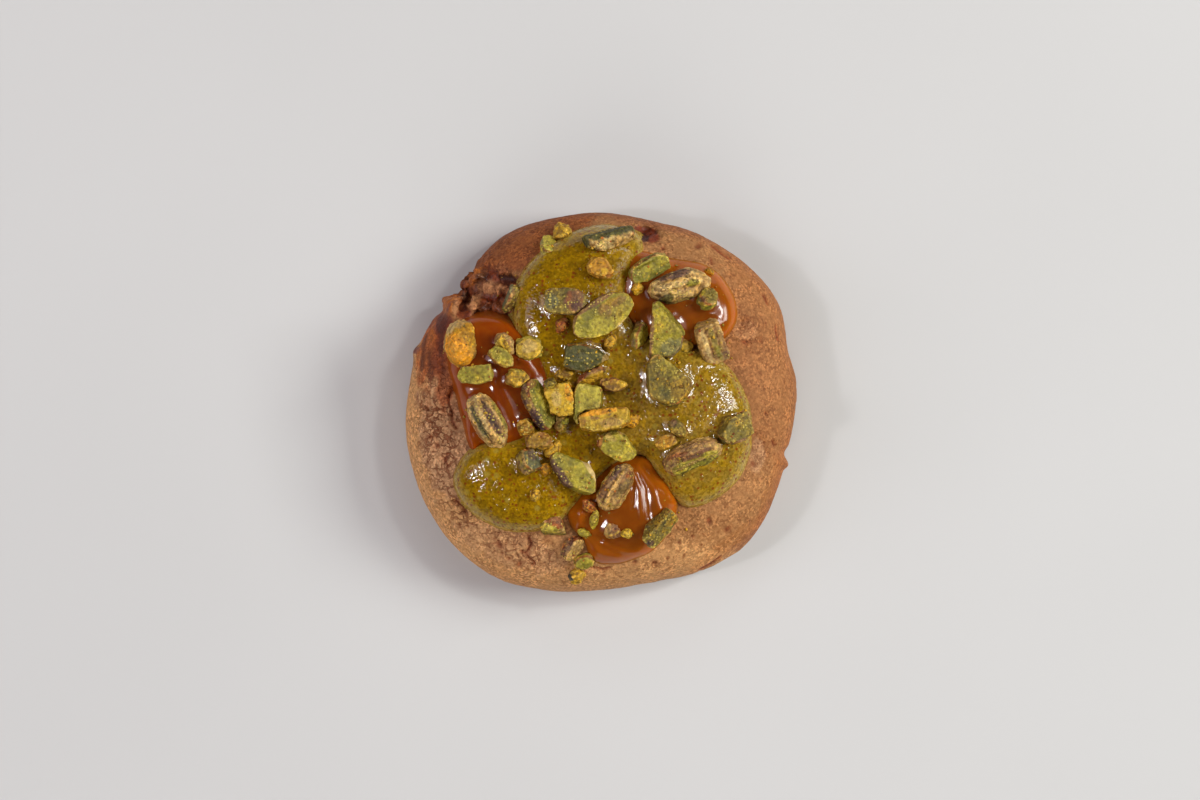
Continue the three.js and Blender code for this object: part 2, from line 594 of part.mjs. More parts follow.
/** Where a piece lies: on the surface at its place, tilted as the surface is, and sunk into it a little. */
function restingPlace({ at: [x, y], size, turn, lift = 0 }, surface) {
  const reach = 0.3 * size[0];
  const slopeX = (surface(x + reach, y) - surface(x - reach, y)) / (2 * reach);
  const slopeY = (surface(x, y + reach) - surface(x, y - reach)) / (2 * reach);
  const up = new THREE.Vector3(-slopeX, -slopeY, 1).normalize();
  const level = new THREE.Quaternion().setFromUnitVectors(new THREE.Vector3(0, 0, 1), up);
  const spun = new THREE.Quaternion().setFromAxisAngle(new THREE.Vector3(0, 0, 1), radians(turn));
  const height = surface(x, y) + (0.5 - SUNK) * size[2] + lift;
  const ones = new THREE.Vector3(1, 1, 1);
  return new THREE.Matrix4().compose(new THREE.Vector3(x, y, height), level.multiply(spun), ones);
}

/** A placed piece grown by the gap, which cuts its neighbours back. */
function grown(size, solid, place) {
  const scale = new THREE.Vector3(...size.map((s) => 1 + (2 * GAP) / s));
  return moved(solid, place.clone().scale(scale));
}

// ------------------------------------------------------------------------------------------------ assembly

const FINISH = {
  dough: { color: 0xb37a47, roughness: 0.85 },
  cream: { color: 0x86661a, roughness: 0.25 },
  caramel: { color: 0x8a3f0c, roughness: 0.15 },
  ridged: { color: 0x8a6a48, roughness: 0.75 },
  green: { color: 0x9a9a35, roughness: 0.75 },
  olive: { color: 0x5f6128, roughness: 0.75 },
  golden: { color: 0xbd8f2c, roughness: 0.75 },
};

/** One named piece of the cookie. */
function piece(name, finish, solid) {
  const material = new THREE.MeshStandardMaterial({ metalness: 0, ...FINISH[finish] });
  const mesh = new THREE.Mesh(toGeometry(solid), material);
  mesh.name = name;
  return mesh;
}

/** The whole cookie, as a group of named pieces. */
function cookie() {
  const dough = doughSolid();
  const doughBed = moved(dough, new THREE.Matrix4().makeTranslation(0, 0, GAP));
  const creamSheet = { ...CREAM, curve: smoothOutline(CREAM.outline) };
  const poolSheets = POOLS.map((pool) => ({ ...pool, curve: smoothOutline(pool.outline) }));
  const creamBed = sheetBlock(creamSheet, CLEARANCE);
  const cream = sheetSolid(creamSheet, [doughBed]);
  const pools = poolSheets.map((sheet) => sheetSolid(sheet, [doughBed, creamBed]));

  const sheets = [creamSheet, ...poolSheets];
  const sheetBeds = [creamBed, ...poolSheets.map((sheet) => sheetBlock(sheet, CLEARANCE))];
  const surface = (x, y) => Math.max(crustLevel(x, y), ...sheets.map((sheet) => sheetTop(sheet, x, y)));

  // The kernels that lie highest are placed first, and cut back the ones below them.
  const placed = [];
  const count = {};
  const kernels = KERNELS.map((kernel, i) => {
    const { form, hue, size } = kernel;
    const place = restingPlace(kernel, surface);
    const raw = choppedKernel(kernel, i + 1);
    const whole = moved(raw, place);
    const left = clearOf(whole, [doughBed, ...sheetBeds, ...placed]);
    placed.push(grown(size, raw, place));
    count[form + hue] = (count[form + hue] ?? 0) + 1;
    return piece(`${form}_${hue}_${count[form + hue]}`, hue, largest(left));
  });

  // Each crumb is fused to what it lies on, clear of the kernels and of the other toppings.
  const spread = Object.fromEntries(sheets.map((sheet, i) => [sheet.name, [cream, ...pools][i]]));
  CRUMBS.forEach((crumb, i) => {
    const raw = moved(choppedKernel({ ...crumb, form: "bit" }, 60 + i), restingPlace(crumb, surface));
    const others = sheetBeds.filter((_, k) => sheets[k].name !== crumb.on);
    const left = clearOf(raw, [doughBed, ...others, ...placed]);
    if (left.volume() > KEPT_VOLUME) spread[crumb.on] = largest(spread[crumb.on].add(largest(left)));
  });

  const group = new THREE.Group();
  group.add(piece("dough", "dough", dough));
  sheets.forEach(({ name }, i) => group.add(piece(name, i ? "caramel" : "cream", spread[name])));
  group.add(...kernels);

  // The rim is uneven, so the group is moved to bring the middle of its footprint to the origin.
  const middle = new THREE.Box3().setFromObject(group).getCenter(new THREE.Vector3());
  group.position.set(-middle.x, -middle.y, 0);
  return group;
}

export default cookie();
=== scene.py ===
"""The pistachio cookie, dressed: baked dough, pistachio cream, three caramel pools and chopped kernels.

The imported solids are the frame. Each visible piece stands for one of them, or lies on one of them. Sizes in
the classes are millimetres in the cookie's own drawing, whose middle is DRAWING_MIDDLE in the frame. Meshes
are written in metres.
"""

import itertools
import logging
import math
from dataclasses import dataclass, field
from enum import Enum
from functools import partial

import bmesh
import bpy
import numpy as np
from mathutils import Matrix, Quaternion, Vector
from mathutils.bvhtree import BVHTree
from mathutils.kdtree import KDTree


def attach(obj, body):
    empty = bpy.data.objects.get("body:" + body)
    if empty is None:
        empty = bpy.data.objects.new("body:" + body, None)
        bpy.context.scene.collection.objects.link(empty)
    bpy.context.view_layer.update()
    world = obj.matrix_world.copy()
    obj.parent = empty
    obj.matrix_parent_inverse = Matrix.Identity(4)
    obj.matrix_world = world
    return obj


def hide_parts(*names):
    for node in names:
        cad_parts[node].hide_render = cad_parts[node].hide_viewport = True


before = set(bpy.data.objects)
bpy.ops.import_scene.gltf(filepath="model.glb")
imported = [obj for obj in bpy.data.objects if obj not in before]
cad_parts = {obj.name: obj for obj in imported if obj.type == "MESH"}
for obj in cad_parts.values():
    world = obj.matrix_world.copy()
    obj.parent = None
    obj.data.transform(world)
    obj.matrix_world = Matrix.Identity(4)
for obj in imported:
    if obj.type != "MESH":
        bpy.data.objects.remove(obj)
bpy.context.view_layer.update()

LOG = logging.getLogger("cookie")
MM = 0.001
DRAWING_MIDDLE = (0.122, 0.197)  # where the drawing's origin lies in the frame, in millimetres

Array = np.ndarray
Material = bpy.types.Material
Node = bpy.types.Node
Pair = tuple[float, float]
Piece = bpy.types.Object
Socket = bpy.types.NodeSocket
Triple = tuple[float, float, float]


class Tone(Enum):
    """The foods' colours as the eye sees them: red, green and blue from 0 to 255."""

    BAKED = (166, 115, 67)
    ORANGE_BAKED = (164, 106, 58)
    # painted light: a paler bake laid on the lower and left sides, where more light falls
    PAINTED_LIGHT_BAKED = (212, 159, 100)
    RIM = (150, 90, 52)
    TOASTED = (142, 76, 32)
    CRACKLED = (188, 143, 102)
    PORE = (122, 56, 22)
    CHOCOLATE = (52, 20, 14)
    CHOCOLATE_BROWN = (124, 48, 18)
    TORN_CRUMB = (202, 144, 94)
    BURNT_SUGAR = (166, 74, 14)
    AMBER_CRUST = (178, 100, 34)
    LIME = (164, 148, 38)
    PALE_LIME = (192, 174, 58)
    GREEN = (132, 124, 28)
    OLIVE = (130, 110, 34)
    MOSS = (78, 74, 24)
    SAGE = (112, 108, 70)
    GOLD = (176, 134, 24)
    PALE_GOLD = (192, 155, 36)
    OCHRE = (150, 110, 20)
    AMBER = (186, 130, 12)
    SUNNY = (226, 150, 16)
    YOLK = (206, 164, 30)
    TAN = (186, 146, 82)
    STRAW = (214, 182, 116)
    HUSK = (128, 84, 50)
    RUST = (152, 82, 30)
    PLUM = (86, 54, 46)
    INK = (44, 46, 50)

    def linear(self) -> Array:
        """The tone as light, for a material."""
        share = np.array(self.value) / 255
        return np.where(share <= 0.04045, share / 12.92, ((share + 0.055) / 1.055) ** 2.4)


Paint = Tone | Triple | Array


def light_of(paint: Paint) -> Array:
    """A tone, or a colour that is given as light, as light."""
    return paint.linear() if isinstance(paint, Tone) else np.asarray(paint)


# ---- small maths


def hashed(cells: Array, seed: int) -> Array:
    """Settled random numbers from 0 to 1, one for each whole-number cell.

    Args:
        cells: whole-number places, one a row.
        seed: which set of numbers.
    """
    mask = 0xFFFFFFFF
    stirred = cells[:, 0] * 374761393 + cells[:, 1] * 668265263 + cells[:, 2] * 2147483647
    stirred = (stirred + seed * 1274126177) & mask
    stirred = ((stirred ^ (stirred >> 13)) * 1274126177) & mask
    return (stirred ^ (stirred >> 16)) / mask


def unevenness(points: Array, pitch: float, seed: int) -> Array:
    """Soft lattice noise between about -1 and 1.

    Args:
        points: places in millimetres, one a row.
        pitch: distance between two lumps.
        seed: which noise.
    """
    place = points / pitch + 311.5
    cell = np.floor(place).astype(np.int64)
    part = place - cell
    part = part * part * (3 - 2 * part)
    total = np.zeros(len(points))
    for corner in itertools.product((0, 1), repeat=3):
        weight = np.prod(np.where(corner, part, 1 - part), axis=1)
        total += weight * hashed(cell + corner, seed)
    return 2 * total - 1


def layered(points: Array, pitch: float, seed: int, layers: int = 3) -> Array:
    """Noise in layers, each half the pitch and half the height of the one before."""
    parts = [unevenness(points, pitch / 2**k, seed + k) / 2**k for k in range(layers)]
    return sum(parts) / 1.5


def cells_of(points: Array, pitch: float, seed: int) -> tuple[Array, Array, Array]:
    """Scattered cells, as in crumb or cracked clay.

    Args:
        points: places in millimetres, one a row.
        pitch: usual width of a cell.
        seed: which cells.

    Returns:
        Distance to the nearest seed point, distance to the second nearest, both as shares of the pitch, and a
        settled random number of the cell.
    """
    place = points / pitch + 97.3
    home = np.floor(place).astype(np.int64)
    first = np.full(len(points), 9.0)
    second = np.full(len(points), 9.0)
    owner = np.zeros(len(points))
    for step in itertools.product((-1, 0, 1), repeat=3):
        cell = home + step
        site = cell + np.stack([hashed(cell, seed + k) for k in range(3)], axis=1)
        away = np.linalg.norm(place - site, axis=1)
        nearer = away < first
        second = np.where(nearer, first, np.minimum(second, away))
        owner = np.where(nearer, hashed(cell, seed + 7), owner)
        first = np.where(nearer, away, first)
    return first, second, owner


def ramp(values: Array, low: float, high: float) -> Array:
    """A soft step from 0 at low to 1 at high; low may be the larger."""
    share = np.clip((values - low) / (high - low), 0, 1)
    return share * share * (3 - 2 * share)


def mixed(under: Paint, over: Paint, share: Array | float) -> Array:
    """One colour laid over another, by a share for each point.

    Args:
        under: a tone, one colour for all the points, or a colour for each.
        over: the same for the colour that covers it.
        share: how much it covers.
    """
    low, high = light_of(under), light_of(over)
    return low + (high - low) * np.atleast_1d(np.clip(share, 0, 1))[:, None]


def coated(tone: Paint, *coats: tuple[Paint, Array | float]) -> Array:
    """A colour under coats of others, each with the share that it covers."""
    for paint, share in coats:
        tone = mixed(tone, paint, share)
    return tone


def hump(x: Array, y: Array, at: Pair, reach: Pair, turn: float = 0.0) -> Array:
    """A hump of height 1 that fades out past its reach.

    Args:
        x: places along the drawing.
        y: places across it.
        at: its middle.
        reach: its half-length and half-width.
        turn: how far it is turned, in degrees.
    """
    c, s = math.cos(math.radians(turn)), math.sin(math.radians(turn))
    dx, dy = x - at[0], y - at[1]
    along, across = (dx * c + dy * s) / reach[0], (dy * c - dx * s) / reach[1]
    return np.exp(-((along * along + across * across) ** 1.5))


def waves(x: Array, y: Array, pitch: float, seed: float) -> Array:
    """The drawing's gentle unevenness, between about -1 and 1."""
    k = 2 * math.pi / pitch
    total = 0.0
    for i in range(4):
        way = math.radians(seed * 77 + i * 49)
        along = k * (math.cos(way) * x + math.sin(way) * y) * (1 + 0.23 * i)
        total = total + np.sin(along + seed * 5.1 + i * 1.9)
    return total / 2.6


def from_line(x: Array, y: Array, line: tuple[Pair, ...]) -> Array:
    """Distance to a line of straight stretches."""
    nearest = np.full(np.shape(x), 1e9)
    for (ax, ay), (bx, by) in zip(line, line[1:]):
        length = (bx - ax) ** 2 + (by - ay) ** 2 or 1.0
        share = np.clip(((x - ax) * (bx - ax) + (y - ay) * (by - ay)) / length, 0, 1)
        nearest = np.minimum(nearest, np.hypot(ax + share * (bx - ax) - x, ay + share * (by - ay) - y))
    return nearest


def pairs(*tenths: int) -> tuple[Pair, ...]:
    """Places in millimetres, from tenths of a millimetre in a row."""
    return tuple((x / 10, y / 10) for x, y in zip(tenths[::2], tenths[1::2]))


# ---- mesh handling


def deselect() -> None:
    """Leaves nothing selected and nothing active."""
    bpy.ops.object.select_all(action="DESELECT")
    bpy.context.view_layer.objects.active = None


def take_hold(piece: Piece) -> None:
    """Makes one piece the only selected and active one."""
    deselect()
    piece.select_set(True)
    bpy.context.view_layer.objects.active = piece


def corners_of(mesh: bpy.types.Mesh) -> Array:
    """A mesh's vertices as it holds them, one a row."""
    flat = np.empty(len(mesh.vertices) * 3)
    mesh.vertices.foreach_get("co", flat)
    return flat.reshape(-1, 3)


def points_of(piece: Piece) -> Array:
    """A piece's vertices in drawing millimetres, one a row."""
    return corners_of(piece.data) / MM - (*DRAWING_MIDDLE, 0)


def set_points(piece: Piece, points: Array) -> None:
    """Writes a piece's vertices from drawing millimetres."""
    piece.data.vertices.foreach_set("co", ((points + (*DRAWING_MIDDLE, 0)) * MM).ravel())
    piece.data.update()


def normals_of(piece: Piece) -> Array:
    """A piece's vertex normals, one a row."""
    flat = np.empty(len(piece.data.vertices) * 3)
    piece.data.vertex_normals.foreach_get("vector", flat)
    return flat.reshape(-1, 3)


def set_tones(piece: Piece, tones: Array) -> None:
    """Stores a colour for each vertex."""
    layer = piece.data.attributes.new("tone", "FLOAT_COLOR", "POINT")
    layer.data.foreach_set("color", np.column_stack([np.clip(tones, 0, 1), np.ones(len(tones))]).ravel())


def set_shares(piece: Piece, name: str, shares: Array) -> None:
    """Stores a number for each vertex."""
    layer = piece.data.attributes.new(name, "FLOAT", "POINT")
    layer.data.foreach_set("value", np.ascontiguousarray(shares, dtype=np.float64))


def apply_all(piece: Piece) -> None:
    """Applies every modifier of a piece, in order."""
    take_hold(piece)
    for name in [m.name for m in piece.modifiers]:
        bpy.ops.object.modifier_apply(modifier=name)


def flat_grid(name: str, columns: int, rows: int) -> tuple[Piece, Array]:
    """A grid to start a piece from, and each vertex's place on it, from 0 to 1 both ways."""
    deselect()
    bpy.ops.mesh.primitive_grid_add(x_subdivisions=columns, y_subdivisions=rows, size=2)
    piece = bpy.context.object
    piece.name = piece.data.name = name
    return piece, (corners_of(piece.data)[:, :2] + 1) / 2


def face_outward(piece: Piece, weld: float = 0.0) -> None:
    """Faces a closed piece outward; vertices closer together than the weld, in metres, are joined first."""
    take_hold(piece)
    bpy.ops.object.mode_set(mode="EDIT")
    bpy.ops.mesh.select_all(action="SELECT")
    if weld:
        bpy.ops.mesh.remove_doubles(threshold=weld)
    bpy.ops.mesh.normals_make_consistent(inside=False)
    bpy.ops.object.mode_set(mode="OBJECT")


def linked(name: str, data: bpy.types.ID) -> Piece:
    """A new object in the scene."""
    piece = bpy.data.objects.new(name, data)
    bpy.context.scene.collection.objects.link(piece)
    return piece


def bulging(piece: Piece, passes: int = 2) -> Array:
    """How far each vertex stands out from its neighbours: positive on an edge, negative in a pit.

    Args:
        piece: the mesh piece, of even spacing.
        passes: how often the result is evened out.
    """
    mesh = piece.data
    ends = np.empty(len(mesh.edges) * 2, dtype=np.int64)
    mesh.edges.foreach_get("vertices", ends)
    a, b = ends.reshape(-1, 2).T
    points, normals = points_of(piece), normals_of(piece)
    count = np.bincount(np.concatenate([a, b]), minlength=len(points)).clip(1)

    def neighbours(values: Array) -> Array:
        """Mean of the neighbours' values."""
        total = np.bincount(a, values[b], len(values)) + np.bincount(b, values[a], len(values))
        return total / count

    away = points - np.stack([neighbours(points[:, k]) for k in range(3)], axis=1)
    out = np.einsum("ij,ij->i", away, normals) / np.mean(np.linalg.norm(points[a] - points[b], axis=1))
    for _ in range(passes):
        out = (out + neighbours(out)) / 2
    return out


def finish_piece(piece: Piece, slot: str, material: Material, *nodes: str) -> None:
    """Names what a piece rides on, stands for and is made of, and smooths its shading.

    Args:
        piece: the finished mesh.
        slot: the record's material slot; not used.
        material: its finish.
        nodes: the solids that it stands for.
    """
    piece.data.materials.clear()
    piece.data.materials.append(material)
    take_hold(piece)
    bpy.ops.object.shade_smooth()
    deselect()
    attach(piece, "root")
    if nodes:
        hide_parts(*nodes)
    LOG.info("%s: %d faces, for %s", piece.name, len(piece.data.polygons), ", ".join(nodes) or "no solid")


# ---- finishes


Value = Socket | float
Grain = tuple[float, float, float, Triple]
Kind = tuple[float, float, float, float, Triple]


class Board:
    """A material's node board, with short ways to add and join nodes."""

    def __init__(self, name: str) -> None:
        """Starts a material with nothing but its shader and output."""
        self.material = bpy.data.materials.new(name)
        self.material.use_nodes = True
        self.tree = self.material.node_tree
        self.tree.nodes.clear()
        self.shader = self.add("ShaderNodeBsdfPrincipled")
        output = self.add("ShaderNodeOutputMaterial")
        self.join(self.shader.outputs["BSDF"], output.inputs["Surface"])
        self.place = self.add("ShaderNodeTexCoord").outputs["Object"]

    def add(self, kind: str, **values: object) -> Node:
        """Adds a node and sets its properties."""
        node = self.tree.nodes.new(kind)
        for key, value in values.items():
            setattr(node, key, value)
        return node

    def join(self, start: object, end: Socket) -> None:
        """Joins an output to an input, or sets the input to a plain value."""
        if isinstance(start, Socket):
            self.tree.links.new(start, end)
        else:
            end.default_value = start

    def layer(self, name: str, colour: bool = False) -> Socket:
        """A value, or a colour, stored on the mesh."""
        node = self.add("ShaderNodeAttribute", attribute_name=name)
        return node.outputs["Color" if colour else "Fac"]

    def texture(self, kind: str, pitch: float, place: Socket | None = None, **values: object) -> Node:
        """A texture of a pitch in millimetres, laid on the object's own place unless told otherwise."""
        node = self.add(f"ShaderNodeTex{kind}", **values)
        node.inputs["Scale"].default_value = 1 / (pitch * MM)
        self.join(self.place if place is None else place, node.inputs["Vector"])
        return node

    def noise(self, pitch: float, detail: float = 2.0, rough: float = 0.5) -> Socket:
        """Soft noise of a pitch in millimetres."""
        node = self.texture("Noise", pitch)
        node.inputs["Detail"].default_value = detail
        node.inputs["Roughness"].default_value = rough
        return node.outputs["Fac"]

    def creases(self, pitch: float, wander: float) -> Socket:
        """How near a place is to the creases of a crackled crust.

        Args:
            pitch: width of the fields between them in millimetres.
            wander: how far they wander from straight, in millimetres.
        """
        shift = self.add("ShaderNodeVectorMath", operation="SCALE")
        self.join(self.texture("Noise", pitch * 0.8).outputs["Color"], shift.inputs[0])
        shift.inputs["Scale"].default_value = wander * MM * 2
        place = self.add("ShaderNodeVectorMath", operation="ADD")
        self.join(self.place, place.inputs[0])
        self.join(shift.outputs["Vector"], place.inputs[1])
        edges = self.texture("Voronoi", pitch, place.outputs["Vector"], feature="DISTANCE_TO_EDGE")
        return edges.outputs["Distance"]

    def maths(self, what: str, a: Value, b: Value) -> Socket:
        """A calculation with two values."""
        node = self.add("ShaderNodeMath", operation=what)
        self.join(a, node.inputs[0])
        self.join(b, node.inputs[1])
        return node.outputs["Value"]

    def times(self, a: Value, b: Value) -> Socket:
        """Two values multiplied."""
        return self.maths("MULTIPLY", a, b)

    def remap(self, value: Value, low: float, high: float, least: float = 0.0) -> Socket:
        """A soft step from the least value at low to 1 at high; low may be the larger."""
        node = self.add("ShaderNodeMapRange", interpolation_type="SMOOTHSTEP")
        self.join(value, node.inputs["Value"])
        for key, number in (("From Min", low), ("From Max", high), ("To Min", least)):
            node.inputs[key].default_value = number
        return node.outputs["Result"]

    def coat(self, under: Value, over: Paint, share: Value, strength: float, how: str = "MIX") -> Socket:
        """Lays one colour over another.

        Args:
            under: the colour below.
            over: the colour that covers or, with MULTIPLY, dyes it.
            share: where it lies, from 0 to 1.
            strength: how strongly it shows there.
            how: the kind of mix.
        """
        node = self.add("ShaderNodeMix", data_type="RGBA", blend_type=how)
        self.join(self.times(share, strength), node.inputs["Factor"])
        self.join(under, node.inputs[6])
        self.join((*light_of(over), 1.0), node.inputs[7])
        return node.outputs[2]

    def grains(self, tone: Socket, cells: Socket, patchy: Value, *kinds: Grain) -> Socket:
        """Dyes a tone grain by grain.

        Args:
            tone: the tone below.
            cells: the number of each grain, or a noise.
            patchy: how strongly the grains show from place to place.
            kinds: where a kind begins and where it is full, its strength and its dye.
        """
        for begins, full, strength, dye in kinds:
            share = self.times(self.remap(cells, begins, full), patchy)
            tone = self.coat(tone, dye, share, strength, "MULTIPLY")
        return tone

    def specks(self, pitch: float, size: float, core: float, share: float) -> Socket:
        """Where scattered specks of one kind lie.

        Args:
            pitch: the cells' width in millimetres.
            size: the specks' half-width, as a share of the pitch.
            core: the half-width of their full middle.
            share: how many of the cells have one.
        """
        cells = self.texture("Voronoi", pitch)
        near = self.remap(cells.outputs["Distance"], size, core)
        return self.times(near, self.remap(cells.outputs["Color"], share + 0.03, share - 0.03))

    def bump(self, height: Value, rise: float, under: Socket | None = None) -> Socket:
        """Fine relief.

        Args:
            height: the relief, from 0 to 1.
            rise: its height in millimetres.
            under: coarser relief that it adds to.
        """
        node = self.add("ShaderNodeBump")
        node.inputs["Distance"].default_value = rise * MM
        self.join(height, node.inputs["Height"])
        if under is not None:
            self.join(under, node.inputs["Normal"])
        return node.outputs["Normal"]

    def set(self, **values: object) -> None:
        """Sets or joins the shader's own inputs, whose spaces are written as underlines."""
        for key, value in values.items():
            self.join(value, self.shader.inputs[key.replace("_", " ")])


@dataclass(frozen=True)
class DoughFinish:
    """Sandy baked crust with pale grains that are partly sugar specks and partly painted glints; the mesh
    carries its bake, painted lighter on the lower and left sides, and how much of it is glossy sugar or
    chocolate.
    """

    grain: float = 0.9
    grain_rise: float = 0.26
    fine: float = 0.48
    roughness: float = 0.72

    def material(self) -> Material:
        """Builds the finish."""
        board = Board("baked_dough")
        tone = board.layer("tone", colour=True)
        sand = board.noise(self.grain, 3, 0.62)
        tone = board.grains(tone, sand, 1.0, (0.5, 0.34, 0.45, (0.5, 0.33, 0.22)))
        cells = board.texture("Voronoi", self.fine).outputs["Color"]
        patchy = board.remap(board.noise(5.0), 0.36, 0.62, 0.45)
        # the light grains are pale sugar specks and partly painted glints
        dark, light = (0.44, 0.26, 0.6, (0.52, 0.38, 0.28)), (0.56, 0.74, 0.8, (1.6, 1.6, 1.62))
        tone = board.grains(tone, cells, patchy, dark, light)
        tone = board.coat(tone, Tone.PORE, board.specks(1.3, 0.36, 0.2, 0.13), 0.7)
        broken = board.remap(board.noise(2.6), 0.4, 0.52)
        crease = board.remap(board.creases(2.4, 1.5), 0.11, 0.03)
        crease = board.times(board.times(crease, board.layer("crackle")), broken)
        tone = board.coat(tone, Tone.PORE, crease, 0.8)
        relief = board.bump(board.times(crease, -1.0), 0.35)
        relief = board.bump(board.noise(self.grain, 4, 0.65), self.grain_rise, relief)
        board.set(
            Base_Color=tone,
            Roughness=board.maths("SUBTRACT", self.roughness, board.times(board.layer("gloss"), 0.5)),
            Specular_IOR_Level=0.24,
            Normal=relief,
        )
        return board.material


@dataclass(frozen=True)
class CreamFinish:
    """Gritty pistachio paste: a wet, oily gloss broken up by ground nut."""

    grit: float = 0.65
    grit_rise: float = 0.09
    bead: float = 1.15
    bead_rise: float = 0.08
    fine: float = 0.5
    roughness: float = 0.06
    depth: Triple = (0.0016, 0.0011, 0.0002)
    # pitch, where it begins, where it is full, strength and colour of each cloud
    clouds: tuple[Kind, ...] = (
        (2.8, 0.4, 0.66, 0.6, (0.40, 0.225, 0.001)), (1.7, 0.48, 0.3, 0.45, (0.11, 0.072, 0.002)),
    )
    # pitch, half-width, how many, strength and colour of each kind of speck
    specks: tuple[Kind, ...] = (
        (2.0, 0.5, 0.26, 0.42, (0.40, 0.31, 0.05)), (0.95, 0.42, 0.3, 0.55, (0.46, 0.29, 0.015)),
        (1.05, 0.5, 0.3, 0.9, (0.22, 0.045, 0.004)), (0.8, 0.5, 0.16, 0.9, (0.15, 0.022, 0.003)),
    )

    def material(self) -> Material:
        """Builds the finish."""
        board = Board("pistachio_cream")
        tone = board.layer("tone", colour=True)
        for pitch, begins, full, strength, colour in self.clouds:
            tone = board.coat(tone, colour, board.remap(board.noise(pitch, 3, 0.6), begins, full), strength)
        tone = board.grains(tone, board.noise(0.8, 3, 0.6), 1.0, (0.5, 0.32, 0.35, (0.5, 0.36, 0.2)))
        cells = board.texture("Voronoi", self.fine).outputs["Color"]
        dark, light = (0.42, 0.25, 0.5, (0.55, 0.45, 0.35)), (0.58, 0.75, 0.55, (1.5, 1.45, 2.0))
        tone = board.grains(tone, cells, 1.0, dark, light)
        for pitch, size, share, strength, colour in self.specks:
            tone = board.coat(tone, colour, board.specks(pitch, size, size * 0.4, share), strength)
        lumps = board.bump(board.noise(2.0), 0.12)
        beads = board.bump(board.specks(self.bead, 0.45, 0.18, 0.4), self.bead_rise, lumps)
        dry = board.layer("dry")
        board.set(
            Base_Color=tone,
            Roughness=board.maths("ADD", board.times(dry, 0.12), self.roughness),
            IOR=1.47,
            Specular_IOR_Level=board.maths("SUBTRACT", 0.42, board.times(dry, 0.34)),
            Subsurface_Weight=0.15,
            Subsurface_Radius=self.depth,
            Subsurface_Scale=1.0,
            Normal=board.bump(board.noise(self.grit, 1), self.grit_rise, beads),
        )
        return board.material


@dataclass(frozen=True)
class CaramelFinish:
    """Soft, clear caramel: bright orange where it is thin, brightest where it faces the right, which is
    painted light, and deep brown where it is thick.
    """

    roughness: float = 0.15
    depth: Triple = (0.0035, 0.0012, 0.0003)

    def material(self) -> Material:
        """Builds the finish."""
        board = Board("caramel")
        tone = board.layer("tone", colour=True)
        swirl = board.remap(board.noise(3.4), 0.35, 0.7)
        board.set(
            Base_Color=board.coat(tone, (0.36, 0.10, 0.003), swirl, 0.25),
            Roughness=self.roughness,
            IOR=1.5,
            Specular_IOR_Level=0.36,
            Subsurface_Weight=0.3,
            Subsurface_Radius=self.depth,
            Subsurface_Scale=1.0,
            Normal=board.bump(board.noise(4.0, 1, 0.4), 0.07),
        )
        return board.material


@dataclass(frozen=True)
class NutFinish:
    """Chopped pistachio: granular flesh and dry skin, dusted with ground nut, its light and dark grains
    partly painted glints and crevice shade; the mesh carries the tones, which hold painted shade and
    highlights.
    """

    name: str
    grain: float = 0.95
    grain_rise: float = 0.4
    fine: float = 0.55
    dust: float = 0.62
    roughness: float = 0.6

    def material(self) -> Material:
        """Builds the finish."""
        board = Board(self.name)
        tone = board.layer("tone", colour=True)
        grain = board.noise(self.grain, 3, 0.65)
        rough = board.layer("grit")
        tone = board.grains(tone, grain, rough, (0.48, 0.33, 0.5, (0.42, 0.3, 0.17)))
        mosaic = board.texture("Voronoi", self.fine)
        # light and dark grains: the flesh's grain, partly painted small highlights and crevice shade
        dark, light = (0.42, 0.24, 0.8, (0.42, 0.3, 0.16)), (0.56, 0.74, 0.9, (1.8, 1.7, 1.4))
        tone = board.grains(tone, mosaic.outputs["Color"], rough, dark, light)
        drift = board.remap(board.noise(4.5), 0.42, 0.62)
        dust = board.times(board.specks(self.dust, 0.5, 0.3, 0.43), drift)
        tone = board.coat(tone, (0.66, 0.50, 0.085), dust, 0.85)
        relief = board.bump(board.noise(1.6), 0.16)
        for height, rise in ((dust, 0.14), (grain, self.grain_rise), (mosaic.outputs["Distance"], -0.12)):
            relief = board.bump(height, rise, relief)
        board.set(Base_Color=tone, Roughness=self.roughness, Specular_IOR_Level=0.35, Normal=relief)
        return board.material


# ---- dough


@dataclass(frozen=True)
class Mark:
    """A dent or bump in the crust: place, half-sizes, turn in degrees and height."""

    at: Pair
    reach: Pair
    turn: float
    height: float

    def over(self, x: Array, y: Array) -> Array:
        """Its height at each place."""
        return self.height * hump(x, y, self.at, self.reach, self.turn)

    def share(self, x: Array, y: Array) -> Array:
        """The same, from 0 to 1."""
        return np.clip(self.over(x, y), 0, 1)


@dataclass(frozen=True)
class Nick:
    """A nick in the rim, or a knob where its depth is negative: bearing, width in degrees and depth."""

    at: float
    width: float
    depth: float


@dataclass(frozen=True)
class Dab:
    """A soft-edged spot of a tone on the crust."""

    tone: Tone
    at: Pair
    reach: Pair
    turn: float = 0.0
    strength: float = 1.0
    gloss: float = 0.0


@dataclass(frozen=True)
class Crack:
    """An open crack in the crust along a line."""

    line: tuple[Pair, ...]
    width: float
    depth: float


class Part(Enum):
    """The parts of the cookie's profile."""

    UNDER = 1
    WALL = 2
    TOP = 3


def marks_of(*rows: tuple[float, ...]) -> tuple[Mark, ...]:
    """Marks from rows of place, half-sizes, turn and height."""
    return tuple(Mark((x, y), (a, b), turn, height) for x, y, a, b, turn, height in rows)


def lines_of(kind: type, *rows: tuple[float, ...]) -> tuple:
    """Cracks or folds from rows of width, depth or rise, and places in tenths of a millimetre."""
    return tuple(kind(pairs(*places), width, size) for width, size, *places in rows)


